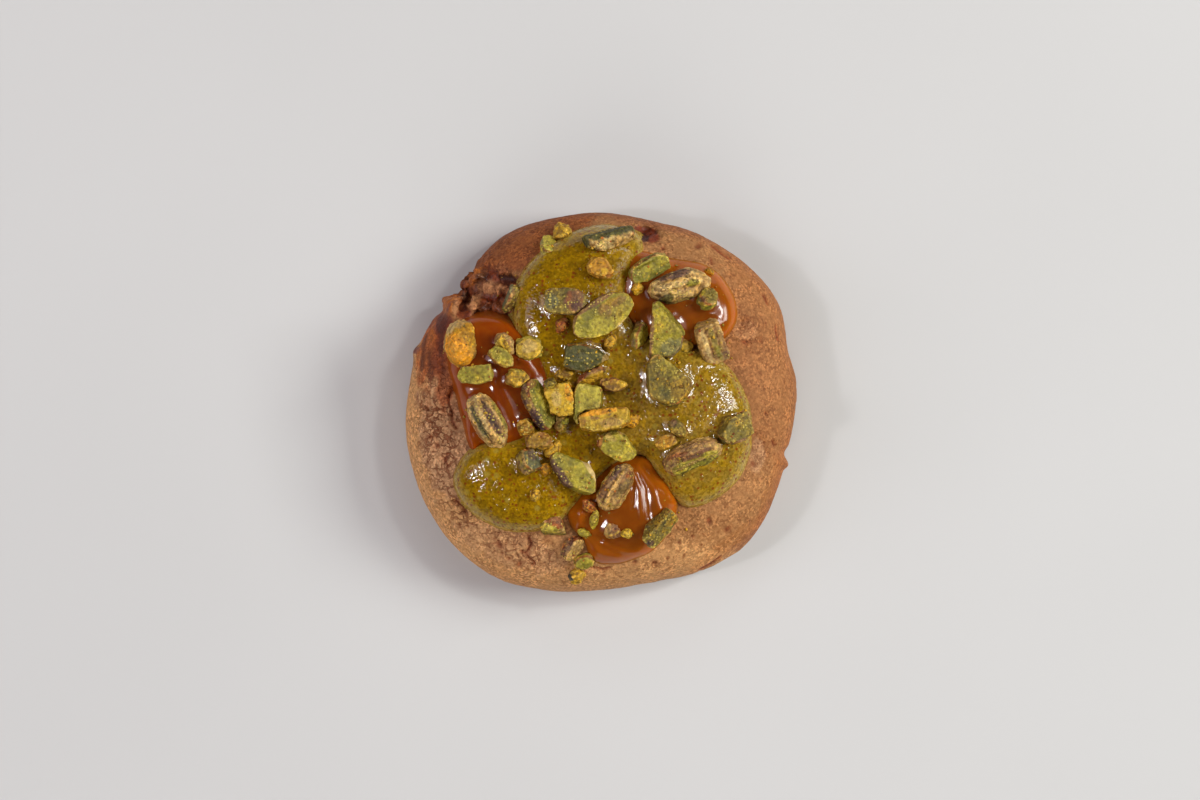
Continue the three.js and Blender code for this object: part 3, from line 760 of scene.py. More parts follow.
def dabs_of(*rows: tuple) -> tuple[Dab, ...]:
    """Dabs from rows of tone, place, half-sizes, turn, strength and gloss."""
    return tuple(Dab(tone, (x, y), (a, b), *more) for tone, x, y, a, b, *more in rows)


@dataclass
class Dough:
    """The baked cookie: a squat round with a flat foot, a bulging wall and a domed, torn, crackled top."""

    height: float = 25
    radius: float = 48
    widest_at: float = 7.5
    foot: float = 0.93
    shoulder: float = 4.6
    wall: float = 2.2
    dimple: float = 1.8
    dimple_reach: float = 0.6
    swell: float = 0.55
    swell_pitch: float = 34
    columns: int = 640
    ring_step: float = 0.5
    rim: tuple[float, ...] = (
        48.5, 48.2, 50.6, 49.6, 48.3, 46.9, 47.1, 47.3, 48.1, 46.6, 46.6, 47.7,
        48.6, 49.8, 50.9, 51.5, 51.2, 48.9, 47.1, 46.9, 48.9, 50.7, 49.5, 48.0,
    )
    nicks: tuple[Nick, ...] = tuple(Nick(*row) for row in (
        (142.5, 1.9, 3.2), (136, 2.4, 1.2), (147, 1.8, -1.0), (150.5, 2, 0.8), (165, 2.2, -0.9),
        (341.2, 1.4, -1.0), (344.6, 1.7, 0.9), (8, 5, -0.5),
    ))
    marks: tuple[Mark, ...] = marks_of(
        (-28.6, 26.2, 7.6, 5.8, -25, -3.8), (-26.0, 20.4, 6.0, 1.4, -6, -3.4),
        (-31.6, 23.6, 2.0, 2.8, 0, 2.8), (-29.2, 30.7, 2.4, 1.5, -10, 1.4), (-31.9, 31.0, 3.2, 1.5, 56, 1.8),
        (-27.2, 28.0, 4.0, 1.6, -8, 1.6), (-34.0, 25.4, 0.8, 2.4, 0, -4.2), (-37.2, 24.0, 1.9, 3.3, -15, 2.4),
        (-22.7, 30.1, 2.4, 0.8, -12, -1.8), (-27.4, 23.9, 2.4, 2.4, 0, 0.8),
        (10.9, 42.0, 2.6, 1.6, -20, -2.2), (-38.4, 8.0, 2.0, 6.5, -8, -0.9),
        (-35.5, -1.0, 1.2, 5.0, 12, -0.9), (34.6, 19.0, 1.5, 1.1, 10, -0.8),
    )
    torn: Mark = Mark((-29.0, 26.5), (9.2, 7.6), -28, 1.6)
    pocket: Mark = Mark((10.9, 41.8), (3.4, 2.2), -20, 1.5)
    sugar: Mark = Mark((-41, 12), (6, 10), -14, 1.4)
    crags: Mark = Mark((-29.5, 26.5), (8.5, 8.5), 0, 0.55)
    crags_pitch: float = 5.2
    crackled: tuple[Mark, ...] = marks_of(
        (-39.5, -7, 7, 17, 4, 1.0), (-33, -27, 8, 5, -48, 0.75), (-19, -37, 11, 5, -12, 0.7),
        (36.5, 17, 4, 5, 0, 0.6), (39.5, -12, 3.5, 7, 0, 0.45), (-24, 33.5, 7, 3, 35, 0.25),
        (8, -42, 14, 3.5, 8, 0.3),
    )
    cracks: tuple[Crack, ...] = lines_of(
        Crack,
        (0.5, 1.2, -361, 41, -373, 16, -375, -1, -363, -23, -368, -46, -358, -63),
        (0.3, 0.7, -385, 9, -373, 16), (0.4, 0.9, -341, -210, -329, -228, -333, -242),
        (0.7, 1.1, -366, -246, -347, -257, -342, -272), (0.45, 1.0, -179, -333, -176, -353, -184, -370),
        (0.32, 0.7, -199, -365, -184, -381, -164, -401), (0.4, 0.7, -26, -410, -4, -415, 18, -411),
        (0.35, 0.5, 242, -420, 274, -404, 296, -385), (0.28, 0.5, 401, 264, 412, 240),
        (0.28, 0.5, 430, 186, 439, 152), (0.28, 0.45, 272, 388, 318, 354), (0.32, 0.5, 271, 353, 272, 339),
        (0.4, 0.6, 423, -98, 428, -108), (0.35, 0.6, -380, -128, -389, -146, -379, -160),
        (0.5, 1.0, -288, 189, -249, 204, -218, 196),
    )
    pores: tuple[Pair, ...] = pairs(
        -230, -389, -204, -403, -168, -403, -252, -355, -352, -305, -331, -308, 264, -293, 203, -379,
        131, -399, 82, -396, 393, 148, 352, 146, 405, -29, 377, -76, 373, -154, 345, 189, 240, 385, 151, 378,
        -422, -58, -425, -87, -452, -102, -405, -109, -432, -16, -402, -70, 310, -315, 224, -332, 162, -386,
    )
    # The paler baked dabs on the lower and left sides are painted light.
    dabs: tuple[Dab, ...] = dabs_of(
        (Tone.PAINTED_LIGHT_BAKED, 0, -44, 44, 12, 0, 0.62), (Tone.PAINTED_LIGHT_BAKED, -36, -28, 12, 14, 40, 0.85),
        (Tone.PAINTED_LIGHT_BAKED, -44.5, -2, 7, 22, 0, 0.9), (Tone.ORANGE_BAKED, 42, 14, 12, 34, 10, 0.75),
        (Tone.AMBER_CRUST, 43.5, -18.5, 1.9, 13, -22, 0.2), (Tone.AMBER_CRUST, 31, -35.5, 13, 1.8, 38, 0.2),
        (Tone.TOASTED, -19, 40, 20, 7, 27, 0.85), (Tone.RIM, 12, 47, 22, 4, -12, 0.55),
        (Tone.CRACKLED, -38.5, -8, 7, 18, 4, 0.8), (Tone.CRACKLED, -22, -36, 14, 5, -20, 0.45),
        (Tone.CRACKLED, 38.4, -13.5, 2.0, 4.2, 0, 0.6), (Tone.TORN_CRUMB, 35.4, 17.4, 3, 2.6, 0, 0.5),
        (Tone.BURNT_SUGAR, -41.0, 13.5, 4.4, 9.5, -14, 0.8, 0.15),
        (Tone.BURNT_SUGAR, -38.2, 4.5, 2.2, 6.5, -8, 0.7, 0.15),
        (Tone.CHOCOLATE_BROWN, -39.6, 13.5, 1.8, 7.5, -12, 0.6, 0.3),
        (Tone.CHOCOLATE_BROWN, -40.0, 20.0, 3.4, 3.0, 40, 0.85, 0.5),
        (Tone.CHOCOLATE_BROWN, -28.8, 26.0, 8.2, 6.8, -28, 0.85, 0.5),
        (Tone.AMBER_CRUST, -31.9, 31.0, 3.4, 1.7, 56, 0.95, 0.35),
        (Tone.CHOCOLATE, -29.2, 30.7, 2.3, 1.4, -10, 0.85, 1.0),
        (Tone.TORN_CRUMB, -27.2, 28.0, 4.2, 1.8, -8, 0.95), (Tone.TORN_CRUMB, -31.6, 23.6, 2.1, 3.0, 0, 1.0),
        (Tone.CHOCOLATE_BROWN, -27.4, 23.9, 2.7, 2.7, 0, 0.95, 0.9),
        (Tone.CHOCOLATE, -26.0, 20.4, 6.0, 1.3, -6, 0.95, 0.5),
        (Tone.CHOCOLATE_BROWN, -34.2, 21.8, 2.2, 1.5, 0, 0.9, 0.5),
        (Tone.AMBER_CRUST, -37.4, 24.4, 2.3, 3.3, -15, 0.95, 0.4),
        (Tone.CHOCOLATE_BROWN, -37.8, 23.6, 0.6, 1.8, -10, 0.8, 0.4),
        (Tone.TORN_CRUMB, -36.1, 23.6, 1.0, 2.3, 0, 0.95),
        (Tone.CHOCOLATE, -34.0, 25.4, 0.8, 2.3, 0, 0.95, 0.4),
        (Tone.CHOCOLATE, -22.7, 30.1, 2.4, 0.9, -12, 0.95, 0.4),
        (Tone.CHOCOLATE_BROWN, -46.4, 12.7, 1.2, 1.0, 0, 0.9, 0.6),
        (Tone.CHOCOLATE_BROWN, 11.0, 41.6, 3.6, 1.9, -22, 0.95, 0.6),
        (Tone.CHOCOLATE, 10.2, 41.0, 1.8, 1.5, -22, 0.85, 0.8),
    )

    def rim_radius(self, bearing: Array) -> Array:
        """Radius at the widest line, without nicks, in the direction of a bearing in degrees."""
        count = len(self.rim)
        place = np.mod(bearing, 360) / (360 / count)
        i = np.floor(place).astype(int)
        a, b, c, d = (np.array(self.rim)[(i + k) % count] for k in (-1, 0, 1, 2))
        t = place - i
        return b + 0.5 * t * (c - a + t * (2 * a - 5 * b + 4 * c - d + t * (3 * (b - c) + d - a)))

    def rim_nick(self, bearing: Array) -> Array:
        """How deep the rim is nicked at a bearing."""
        apart = [np.abs(np.mod(bearing - n.at + 180, 360) - 180) for n in self.nicks]
        return sum(n.depth * np.exp(-((gap / n.width) ** 2)) for n, gap in zip(self.nicks, apart))

    def share_at(self, x: Array, y: Array) -> Array:
        """How far out a place is, as a share of the radius there."""
        return np.minimum(np.hypot(x, y) / self.rim_radius(np.degrees(np.arctan2(y, x))), 1)

    def crust_level(self, x: Array, y: Array) -> Array:
        """Height of the top without its torn places, which is what the toppings flow over."""
        share = self.share_at(x, y)
        rounded = np.maximum(1 - share**self.shoulder, 0) ** (1 / self.wall)
        dimple = self.dimple * np.exp(-((share / self.dimple_reach) ** 2))
        swell = self.swell * waves(x, y, self.swell_pitch, 3) * (1 - share**6)
        return self.widest_at + (self.height - self.widest_at) * rounded - dimple + swell

    def top_level(self, x: Array, y: Array) -> Array:
        """Height of the top with its hollows, flakes and crags."""
        marks = sum(mark.over(x, y) for mark in self.marks)
        zone = hump(x, y, self.crags.at, self.crags.reach)
        return self.crust_level(x, y) + marks + self.crags.height * waves(x, y, self.crags_pitch, 8) * zone

    def profile(self) -> list[tuple[Part, float]]:
        """The rings from the middle of the underside to that of the top: the part each is on, and where."""
        under = [(Part.UNDER, share) for share in (0.0, 0.35, 0.7, 0.9, 0.975)]
        walls = [(Part.WALL, level) for level in np.linspace(0.02, 0.94, 15)]
        run = np.linspace(1, 0.42, 4000)
        rise = (self.height - self.widest_at) * (1 - run**self.shoulder) ** (1 / self.wall)
        length = np.concatenate([[0], np.cumsum(np.hypot(np.diff(run) * self.radius, np.diff(rise)))])
        shares = list(np.interp(np.arange(0, length[-1], self.ring_step), length, run))
        while (share := shares[-1]) > 0.06:
            shares.append(share - min(0.05, 1.25 * (shares[-2] - share)))
        return under + walls + [(Part.TOP, share) for share in shares[:-1]] + [(Part.TOP, 0.0)]

    def base(self, kind: Part, place: float, bearing: Array) -> Array:
        """One ring of the cookie before its fine relief."""
        way = np.stack([np.cos(np.radians(bearing)), np.sin(np.radians(bearing))], axis=1)
        rim, nick = self.rim_radius(bearing), self.rim_nick(bearing)
        if kind is Part.UNDER:
            return np.column_stack([way * (rim * self.foot * place)[:, None], np.zeros(len(bearing))])
        if kind is Part.WALL:
            bulge = self.foot + (1 - self.foot) * math.sqrt(1 - (1 - place) ** 2)
            uneven = 1 + 0.006 * 4 * place * (1 - place) * waves(bearing, place * 20, 37, 6)
            radius = rim * bulge * uneven - nick * place**2
            return np.column_stack([way * radius[:, None], np.full(len(bearing), place * self.widest_at)])
        spot = way * (rim * place)[:, None]
        level = np.maximum(self.top_level(spot[:, 0], spot[:, 1]), self.widest_at * 0.85)
        return np.column_stack([spot - way * (nick * place**14)[:, None], level])

    def pits(self, points: Array, zones: Array, above: Array) -> Array:
        """How deep each point lies in a pit of the crust, from 0 to 1.

        Args:
            points: places on the plain cookie.
            zones: how crackled the crust is there.
            above: 1 on the top and the upper wall, 0 near the foot.
        """
        pits = np.zeros(len(points))
        for pitch, seed, widest in ((2.3, 71, 0.3), (1.5, 75, 0.34)):
            away, _, lot = cells_of(points, pitch, seed)
            size = 0.1 + (widest - 0.1) * np.mod(lot * 37, 1)
            some = lot < 0.10 + 0.34 * zones
            pits = np.maximum(pits, ramp(away, size, size * 0.35) * some * above * (0.5 + 0.5 * zones))
        for k, pore in enumerate(self.pores):
            wide = 0.45 + 0.35 * math.modf(k * 0.618)[0]
            stretch = 1 + 0.5 * math.sin(k * 2.4)
            pits = np.maximum(pits, hump(*points[:, :2].T, pore, (wide * stretch, wide), 47 * k))
        return pits

    def relief(self, points: Array, normals: Array) -> tuple[Array, Array, Array, Array]:
        """Fine relief, bake and gloss.

        Args:
            points: places on the plain cookie.
            normals: which way its surface faces there.

        Returns:
            How far each point moves out, its tone, how glossy it is, and how crackled.
        """
        x, y, z = points.T
        share = self.share_at(x, y)
        above = ramp(z, 3, 12)
        uneven = partial(unevenness, points)
        torn, pocket = self.torn.share(x, y), self.pocket.share(x, y)
        zones = np.clip(sum(mark.over(x, y) for mark in self.crackled), 0, 1)
        zones = zones * ramp(normals[:, 2], 0.35, 0.7)
        warp = np.stack([uneven(3.1, s) for s in (11, 12, 13)], axis=1)
        first, second, _ = cells_of(points + 0.7 * warp, 3.0, 21)
        seams = ramp(second - first, 0.16, 0.02) * ramp(uneven(7, 24), -0.35, 0.3)
        near, far, _ = cells_of(points + 0.3 * warp, 1.35, 31)
        crumbs = ramp(far - near, 0.25, 0.03)
        out = 0.22 * uneven(8, 41) + 0.13 * uneven(3.6, 42)
        out += (0.075 * uneven(1.3, 43) + 0.045 * uneven(0.8, 44)) * (0.4 + 0.6 * above)
        out += zones * (0.3 * (0.5 - first) - 0.5 * seams - 0.25 * crumbs + 0.24 * layered(points, 1.6, 45))
        lump, apart, kind = cells_of(points + 0.9 * warp, 3.7, 55)
        gaps = ramp(apart - lump, 0.22, 0.02)
        rubble = 0.9 * (0.45 - lump) + 0.7 * (kind - 0.5) - 0.5 * gaps + 0.5 * (0.5 - near) - 0.2 * crumbs
        out += torn * (rubble + 0.6 * layered(points, 2.6, 51)) + 0.8 * pocket * rubble
        low = 0.75 * ramp(z, 5, 0) + 0.5 * ramp(normals[:, 2], -0.5, -0.9)
        tone = coated(Tone.BAKED, (Tone.RIM, 0.75 * ramp(share, 0.93, 1.0)), (Tone.TOASTED, low))
        gloss = np.zeros(len(points))
        edge = 0.22 * uneven(2.0, 61) + 0.16 * uneven(0.9, 62)
        for dab in self.dabs:
            cover = ramp(hump(x, y, dab.at, dab.reach, dab.turn) + edge, 0.22, 0.62)
            cover = cover * dab.strength * ramp(z, 1, 6)
            tone = mixed(tone, dab.tone, cover)
            gloss = gloss + (dab.gloss - gloss) * cover
        kinds = (Tone.CHOCOLATE_BROWN, Tone.TORN_CRUMB, Tone.AMBER_CRUST, Tone.BURNT_SUGAR)
        ruins = np.array([t.linear() for t in kinds])
        tone = mixed(tone, ruins[(kind * 3.999).astype(int)], 0.2 * torn)
        tone = mixed(tone, Tone.CHOCOLATE, 0.45 * (torn + 0.7 * pocket) * gaps)
        pits = self.pits(points, zones, above)
        open_cracks = np.zeros(len(points))
        for crack in self.cracks:
            away = from_line(x + 0.35 * warp[:, 0], y + 0.35 * warp[:, 1], crack.line)
            mouth = np.exp(-((away / crack.width) ** 2)) * above
            out -= crack.depth * mouth
            open_cracks = np.maximum(open_cracks, mouth)
        out -= 0.45 * pits
        streaks = unevenness(points @ np.array(((1, 0.35, 0), (-0.12, 0.3, 0), (0, 0, 0.5))), 1.5, 85)
        sugar = self.sugar.share(x, y) * above
        tone = coated(
            tone,
            (Tone.PORE, 0.85 * pits),
            (Tone.CHOCOLATE_BROWN, 0.9 * open_cracks),
            (Tone.TOASTED, zones * (0.4 * seams + 0.2 * crumbs)),
            (Tone.CHOCOLATE, 0.6 * sugar * ramp(streaks, 0.1, 0.5)),
            (Tone.AMBER_CRUST, 0.6 * sugar * ramp(streaks, -0.1, -0.5)),
        )
        mottle = 1 + 0.10 * uneven(1.2, 81) + 0.08 * uneven(4.5, 82)
        mottle += 0.05 * uneven(11, 83)
        return out * ramp(z, 0.2, 2.5), tone * mottle[:, None], np.clip(gloss, 0, 1), zones

    def build(self) -> Piece:
        """Makes the dough from a grid that is rolled round the cookie's profile and welded along its seam."""
        profile = self.profile()
        rings = len(profile) - 1
        piece, sheet = flat_grid("baked_dough", self.columns, rings)
        column = np.rint(sheet[:, 0] * self.columns).astype(int) % self.columns
        ring = np.rint(sheet[:, 1] * rings).astype(int)
        bearing = np.arange(self.columns) * 360 / self.columns
        base = np.stack([self.base(kind, place, bearing) for kind, place in profile])
        across = np.roll(base, -1, axis=1) - np.roll(base, 1, axis=1)
        upward = np.gradient(base, axis=0)
        normal = np.cross(across, upward)
        normal /= np.linalg.norm(normal, axis=2, keepdims=True) + 1e-12
        normal[[kind is Part.UNDER for kind, _ in profile]] = (0, 0, -1)
        normal[-1] = (0, 0, 1)
        points, normals = base[ring, column], normal[ring, column]
        out, tone, gloss, crackle = self.relief(points, normals)
        set_points(piece, points + normals * out[:, None])
        set_tones(piece, tone)
        set_shares(piece, "gloss", gloss)
        set_shares(piece, "crackle", crackle)
        face_outward(piece, weld=1e-6)
        finish_piece(piece, "dough", DoughFinish().material(), "dough")
        return piece


# ---- cream and caramel


@dataclass(frozen=True)
class Fold:
    """A ridge, or a furrow where its rise is negative, in a spread topping along a line."""

    line: tuple[Pair, ...]
    width: float
    rise: float


@dataclass
class Spread:
    """A topping that has flowed out over the dough."""

    name: str
    node: str
    outline: tuple[Pair, ...]
    depth: float
    edge: float
    lobes: tuple[tuple[Pair, float, float], ...]
    folds: tuple[Fold, ...] = ()
    step: float = 0.42
    swell: float = 0.2
    skirt: float = 1.9
    margin: float = 2.5
    wander: float = 0.28
    meniscus: float = 0.42
    meniscus_reach: float = 0.85

    def __post_init__(self) -> None:
        """Works out the smooth outline."""
        points = np.array(self.outline)
        count = len(points)
        curve = []
        for i in range(count):
            p0, p1, p2, p3 = (points[(i + k) % count] for k in (-1, 0, 1, 2))
            d0, d1, d2 = (max(np.linalg.norm(b - a), 1e-4) ** 0.5 for a, b in ((p0, p1), (p1, p2), (p2, p3)))
            t1 = ((p1 - p0) / d0 - (p2 - p0) / (d0 + d1) + (p2 - p1) / d1) * d1
            t2 = ((p2 - p1) / d1 - (p3 - p1) / (d1 + d2) + (p3 - p2) / d2) * d1
            for t in np.linspace(0, 1, 6, endpoint=False):
                curve.append(
                    p1 + t1 * t + (3 * (p2 - p1) - 2 * t1 - t2) * t**2 + (2 * (p1 - p2) + t1 + t2) * t**3
                )
        self.curve = np.array(curve)

    def inside(self, x: Array, y: Array) -> Array:
        """Distance in from the outline: positive inside, negative outside."""
        nearest = np.full(len(x), 1e9)
        within = np.zeros(len(x), dtype=bool)
        for (ax, ay), (bx, by) in zip(self.curve, np.roll(self.curve, -1, axis=0)):
            length = (bx - ax) ** 2 + (by - ay) ** 2 or 1.0
            share = np.clip(((x - ax) * (bx - ax) + (y - ay) * (by - ay)) / length, 0, 1)
            away = (ax + share * (bx - ax) - x) ** 2 + (ay + share * (by - ay) - y) ** 2
            nearest = np.minimum(nearest, away)
            if ay != by:
                within ^= ((ay > y) != (by > y)) & (x < ax + (y - ay) / (by - ay) * (bx - ax))
        return np.where(within, 1, -1) * np.sqrt(nearest)

    def thickness(self, x: Array, y: Array, drop: float = 1.6) -> Array:
        """How thick it is at a place; it falls away steeply outside its outline."""
        inside = self.inside(x, y)
        rounded = np.sqrt(1 - (1 - np.clip(inside / self.edge, 0, 1)) ** 2)
        lobes = sum(rise * hump(x, y, at, (reach, reach)) for at, reach, rise in self.lobes)
        return np.where(inside > 0, rounded * (self.depth + lobes), drop * inside)

    def top(self, dough: Dough, x: Array, y: Array) -> Array:
        """Height of its upper surface."""
        return dough.crust_level(x, y) + self.thickness(x, y)

    def shape(self, x: Array, y: Array) -> Array:
        """Its own small forms: swells and folds."""
        spots = np.column_stack([x, y, np.zeros(len(x))])
        out = self.swell * unevenness(spots, 7.5, 91) + 0.35 * self.swell * unevenness(spots, 3.1, 92)
        for fold in self.folds:
            out = out + fold.rise * np.exp(-((from_line(x, y, fold.line) / fold.width) ** 2))
        return out

    def sheet(self, dough: Dough, kernels: KDTree) -> tuple[Piece, Array]:
        """Makes the closed body from a grid that is trimmed to the outline and drawn down into the dough.

        Args:
            dough: what it lies on.
            kernels: the kernels' surface points, which it wets.

        Returns:
            The piece, and each vertex's distance in from the outline.
        """
        low, high = self.curve.min(axis=0) - self.margin, self.curve.max(axis=0) + self.margin
        piece, sheet = flat_grid(self.name, *(round(length / self.step) for length in high - low))
        spots = low + sheet * (high - low)
        inside = self.inside(*spots.T)
        body = bmesh.new()
        body.from_mesh(piece.data)
        body.verts.ensure_lookup_table()
        for vert, spot in zip(body.verts, spots):
            vert.co = (*spot, 0)
        outer = [body.verts[i] for i in np.flatnonzero(inside < -self.skirt)]
        bmesh.ops.delete(body, geom=outer, context="VERTS")
        lone = [v for v in body.verts if not v.link_faces]
        bmesh.ops.delete(body, geom=lone, context="VERTS")
        body.to_mesh(piece.data)
        body.free()
        solid = piece.modifiers.new("body", "SOLIDIFY")
        solid.thickness = 1.0
        solid.offset = -1.0
        apply_all(piece)
        x, y, side = corners_of(piece.data).T
        upper = side > -0.5
        level_spots = np.column_stack([x, y, np.zeros(len(x))])
        x2 = x + self.wander * unevenness(level_spots, 3.3, 95)
        y2 = y + self.wander * unevenness(level_spots, 3.3, 96)
        inside = self.inside(x2, y2)
        thick = self.thickness(x2, y2, 2.6)
        level = dough.crust_level(x, y) + thick + self.shape(x, y) * ramp(inside, 0.0, 2.5)
        wet = np.array([kernels.find(spot)[2] for spot in zip(x[upper], y[upper], level[upper])])
        climb = self.meniscus * np.exp(-((wet / self.meniscus_reach) ** 2))
        level[upper] += climb * ramp(inside[upper], -0.1, 0.8)
        under = np.minimum(dough.top_level(x, y) - 0.5, level - 0.4)
        set_points(piece, np.column_stack([x, y, np.where(upper, level, under)]))
        face_outward(piece)
        return piece, inside


@dataclass
class Cream(Spread):
    """The gritty pistachio cream, one dollop with three lobes."""

    deep: Triple = (0.245, 0.131, 0.001)
    shallow: Triple = (0.30, 0.18, 0.006)
    # rim: the paler edge, partly the thin cream's own lighter colour, partly a painted reflection of the
    # steep edge
    rim: Triple = (0.44, 0.32, 0.075)
    # a painted sheen: the right of the dollop greyed as by the key lamp's reflection
    painted_sheen: Triple = (0.42, 0.33, 0.10)
    dry: Mark = Mark((3.6, 31.5), (10.5, 4.4), 64, 1.7)

    def build(self, dough: Dough, kernels: KDTree) -> Piece:
        """Makes and dresses the cream."""
        piece, inside = self.sheet(dough, kernels)
        points = points_of(piece)
        fine = 0.05 * unevenness(points, 1.6, 101) + 0.045 * unevenness(points, 0.95, 102)
        points[:, 2] += fine * ramp(inside, 0.2, 1.4)
        set_points(piece, points)
        edge = inside + 0.25 * unevenness(points, 2.4, 103)
        tone = coated(
            self.deep,
            (self.shallow, ramp(inside, 4.5, 1.0)),
            # paler edge: partly the thin cream's colour, partly painted reflection
            (self.rim, 0.85 * ramp(edge, 1.5, 0.25)),
            # painted sheen on the right side
            (self.painted_sheen, 0.15 * ramp(points[:, 0], -6, 12)),
        )
        set_tones(piece, tone * (1 + 0.10 * unevenness(points, 3.4, 104))[:, None])
        set_shares(piece, "dry", self.dry.share(*points[:, :2].T))
        finish_piece(piece, "cream", CreamFinish().material(), self.node)
        return piece


@dataclass
class Caramel(Spread):
    """A pool of soft caramel in a bay between two lobes of cream."""

    deep: Triple = (0.205, 0.046, 0.002)
    middle: Triple = (0.30, 0.070, 0.002)
    thin: Triple = (0.48, 0.115, 0.002)
    rim: Triple = (0.36, 0.12, 0.015)
    tint: Triple = (1.0, 1.0, 1.0)

    def build(self, dough: Dough, kernels: KDTree, material: Material) -> Piece:
        """Makes and dresses the pool."""
        piece, inside = self.sheet(dough, kernels)
        points = points_of(piece)
        # painted light: thin caramel is painted brighter orange where it faces the right, as if the key lamp
        # shone through it
        painted_glow = ramp(normals_of(piece)[:, 0], 0.0, 0.5)
        shallow = ramp(inside + 0.3 * unevenness(points, 3, 111), 2.6, 0.7)
        tone = coated(
            self.deep,
            (self.middle, ramp(inside, 6.0, 2.6)),
            (self.thin, shallow * (0.25 + 0.75 * painted_glow)),
            (self.rim, 0.7 * ramp(inside, 0.6, 0.1)),
        )
        set_tones(piece, tone * self.tint)
        finish_piece(piece, "caramel", material, self.node)
        return piece


def cream() -> Cream:
    """The cream at its drawn size."""
    outline = pairs(
        -210, 175, -155, 87, -148, 13, -164, -55, -229, -94, -299, -104, -347, -144, -364, -202, -328, -264,
        -265, -308, -195, -320, -131, -310, -82, -276, -38, -227, 1, -178, 50, -143, 94, -131, 131, -173,
        173, -237, 217, -259, 278, -239, 335, -192, 364, -124, 369, -45, 349, 28, 308, 87, 241, 126, 163, 138,
        94, 170, 60, 249, 82, 322, 102, 381, 83, 416, 26, 436, -45, 429, -112, 396, -163, 356, -200, 308,
        -214, 241,
    )
    lobes = (((-7, 27), 15, 1.9), ((21, -6), 16, 2.1), ((-20, -20), 12, 1.8))
    return Cream("cream_dollop", "pistachio_cream", outline, 3.4, 5, lobes, swell=0.28)


def caramels() -> tuple[Caramel, ...]:
    """The three pools at their drawn sizes."""
    left = pairs(
        -339, 200, -372, 138, -372, 72, -356, 18, -342, -40, -330, -96, -312, -124, -293, -109, -249, -114,
        -180, -99, -131, -45, -112, 23, -138, 97, -180, 156, -229, 195, -283, 210,
    )
    back = pairs(
        48, 364, 40, 317, 45, 259, 65, 205, 114, 156, 183, 136, 246, 141, 295, 151, 325, 180, 332, 224,
        315, 278, 281, 320, 229, 342, 163, 354, 99, 370,
    )
    front = pairs(
        21, -153, -18, -192, -58, -232, -85, -271, -72, -310, -43, -344, -28, -386, 11, -402, 85, -386,
        138, -354, 168, -310, 185, -256, 175, -217, 143, -178, 104, -134, 65, -134,
    )
    pleats = lines_of(
        Fold,
        (0.55, 0.35, 76, -165, 92, -220, 96, -280), (0.5, -0.4, 80, -160, 108, -215, 116, -285),
        (1.1, 0.55, 88, -156, 128, -205, 140, -260), (0.5, -0.35, 95, -150, 150, -194, 166, -240),
        (0.45, -0.3, 72, -170, 78, -220, 76, -260), (0.55, 0.4, 6, -346, 45, -362, 98, -370),
        (0.5, -0.35, -10, -328, 30, -354, 80, -364), (0.6, 0.35, -36, -334, -6, -370, 44, -384),
        (1.3, 1.0, -56, -294, -52, -264, -36, -244),
    )
    streaks = lines_of(
        Fold,
        (0.7, 0.3, -275, 85, -266, 46, -256, 10), (1.2, 0.45, -226, 110, -186, 96, -160, 70),
        (1.2, 0.6, -338, -30, -328, -80, -316, -112), (0.8, 0.3, -244, 30, -218, -20, -208, -60),
    )
    return (
        Caramel("caramel_pool_left", "caramel_left", left, 3.3, 4.5, (((-27, 4), 9, 0.8),), streaks,
                tint=(0.88, 0.62, 0.5)),
        Caramel("caramel_pool_back", "caramel_back", back, 3.0, 4.2, (((24, 24), 10, 0.6),)),
        Caramel("caramel_pool_front", "caramel_front", front, 3.6, 5.5, (((9, -24), 9, 1.6),), pleats),
    )


# ---- kernels


@dataclass(frozen=True)
class Patch:
    """A spot of another tone on a kernel, in shares of its half-length and half-width, seen from above."""

    tone: Tone
    at: Pair
    reach: Pair
    strength: float = 0.9


def spots(*rows: tuple) -> tuple[Patch, ...]:
    """Patches from rows of tone, place, half-sizes and perhaps strength, all in hundredths."""
    return tuple(
        Patch(tone, (x / 100, y / 100), (a / 100, b / 100), *(share / 100 for share in more))
        for tone, x, y, a, b, *more in rows
    )


@dataclass(frozen=True)
class Groove:
    """A lengthwise furrow (or ridge, where its depth is negative): how far across, how wide and how deep."""

    across: float
    width: float
    depth: float


@dataclass(frozen=True)
class Kernel:
    """How one kernel looks: its turn, the tones of its cut flesh, its skin and its streaks, and its spots."""

    node: str
    turn: float
    flesh: Tone
    skin: Tone
    streak: Tone
    patches: tuple[Patch, ...] = ()
    grooves: tuple[Groove, ...] = ()
    streaks: float = 0.6
    crumble: float = 0.12
    clean: float = 0.0

    @property
    def slot(self) -> str:
        """The record's slot for it."""
        return {"ridged": "nut_skin"}.get(self.hue, f"nut_{self.hue}")

    @property
    def hue(self) -> str:
        """The hue in its node's name."""
        return self.node.split("_")[1]

    @property
    def grit(self) -> float:
        """How granular its cut faces are."""
        return {"green": 0.3, "olive": 0.6, "golden": 0.42, "ridged": 0.6}[self.hue] - self.clean

    @property
    def form(self) -> str:
        """The form in its node's name."""
        return self.node.split("_")[0]


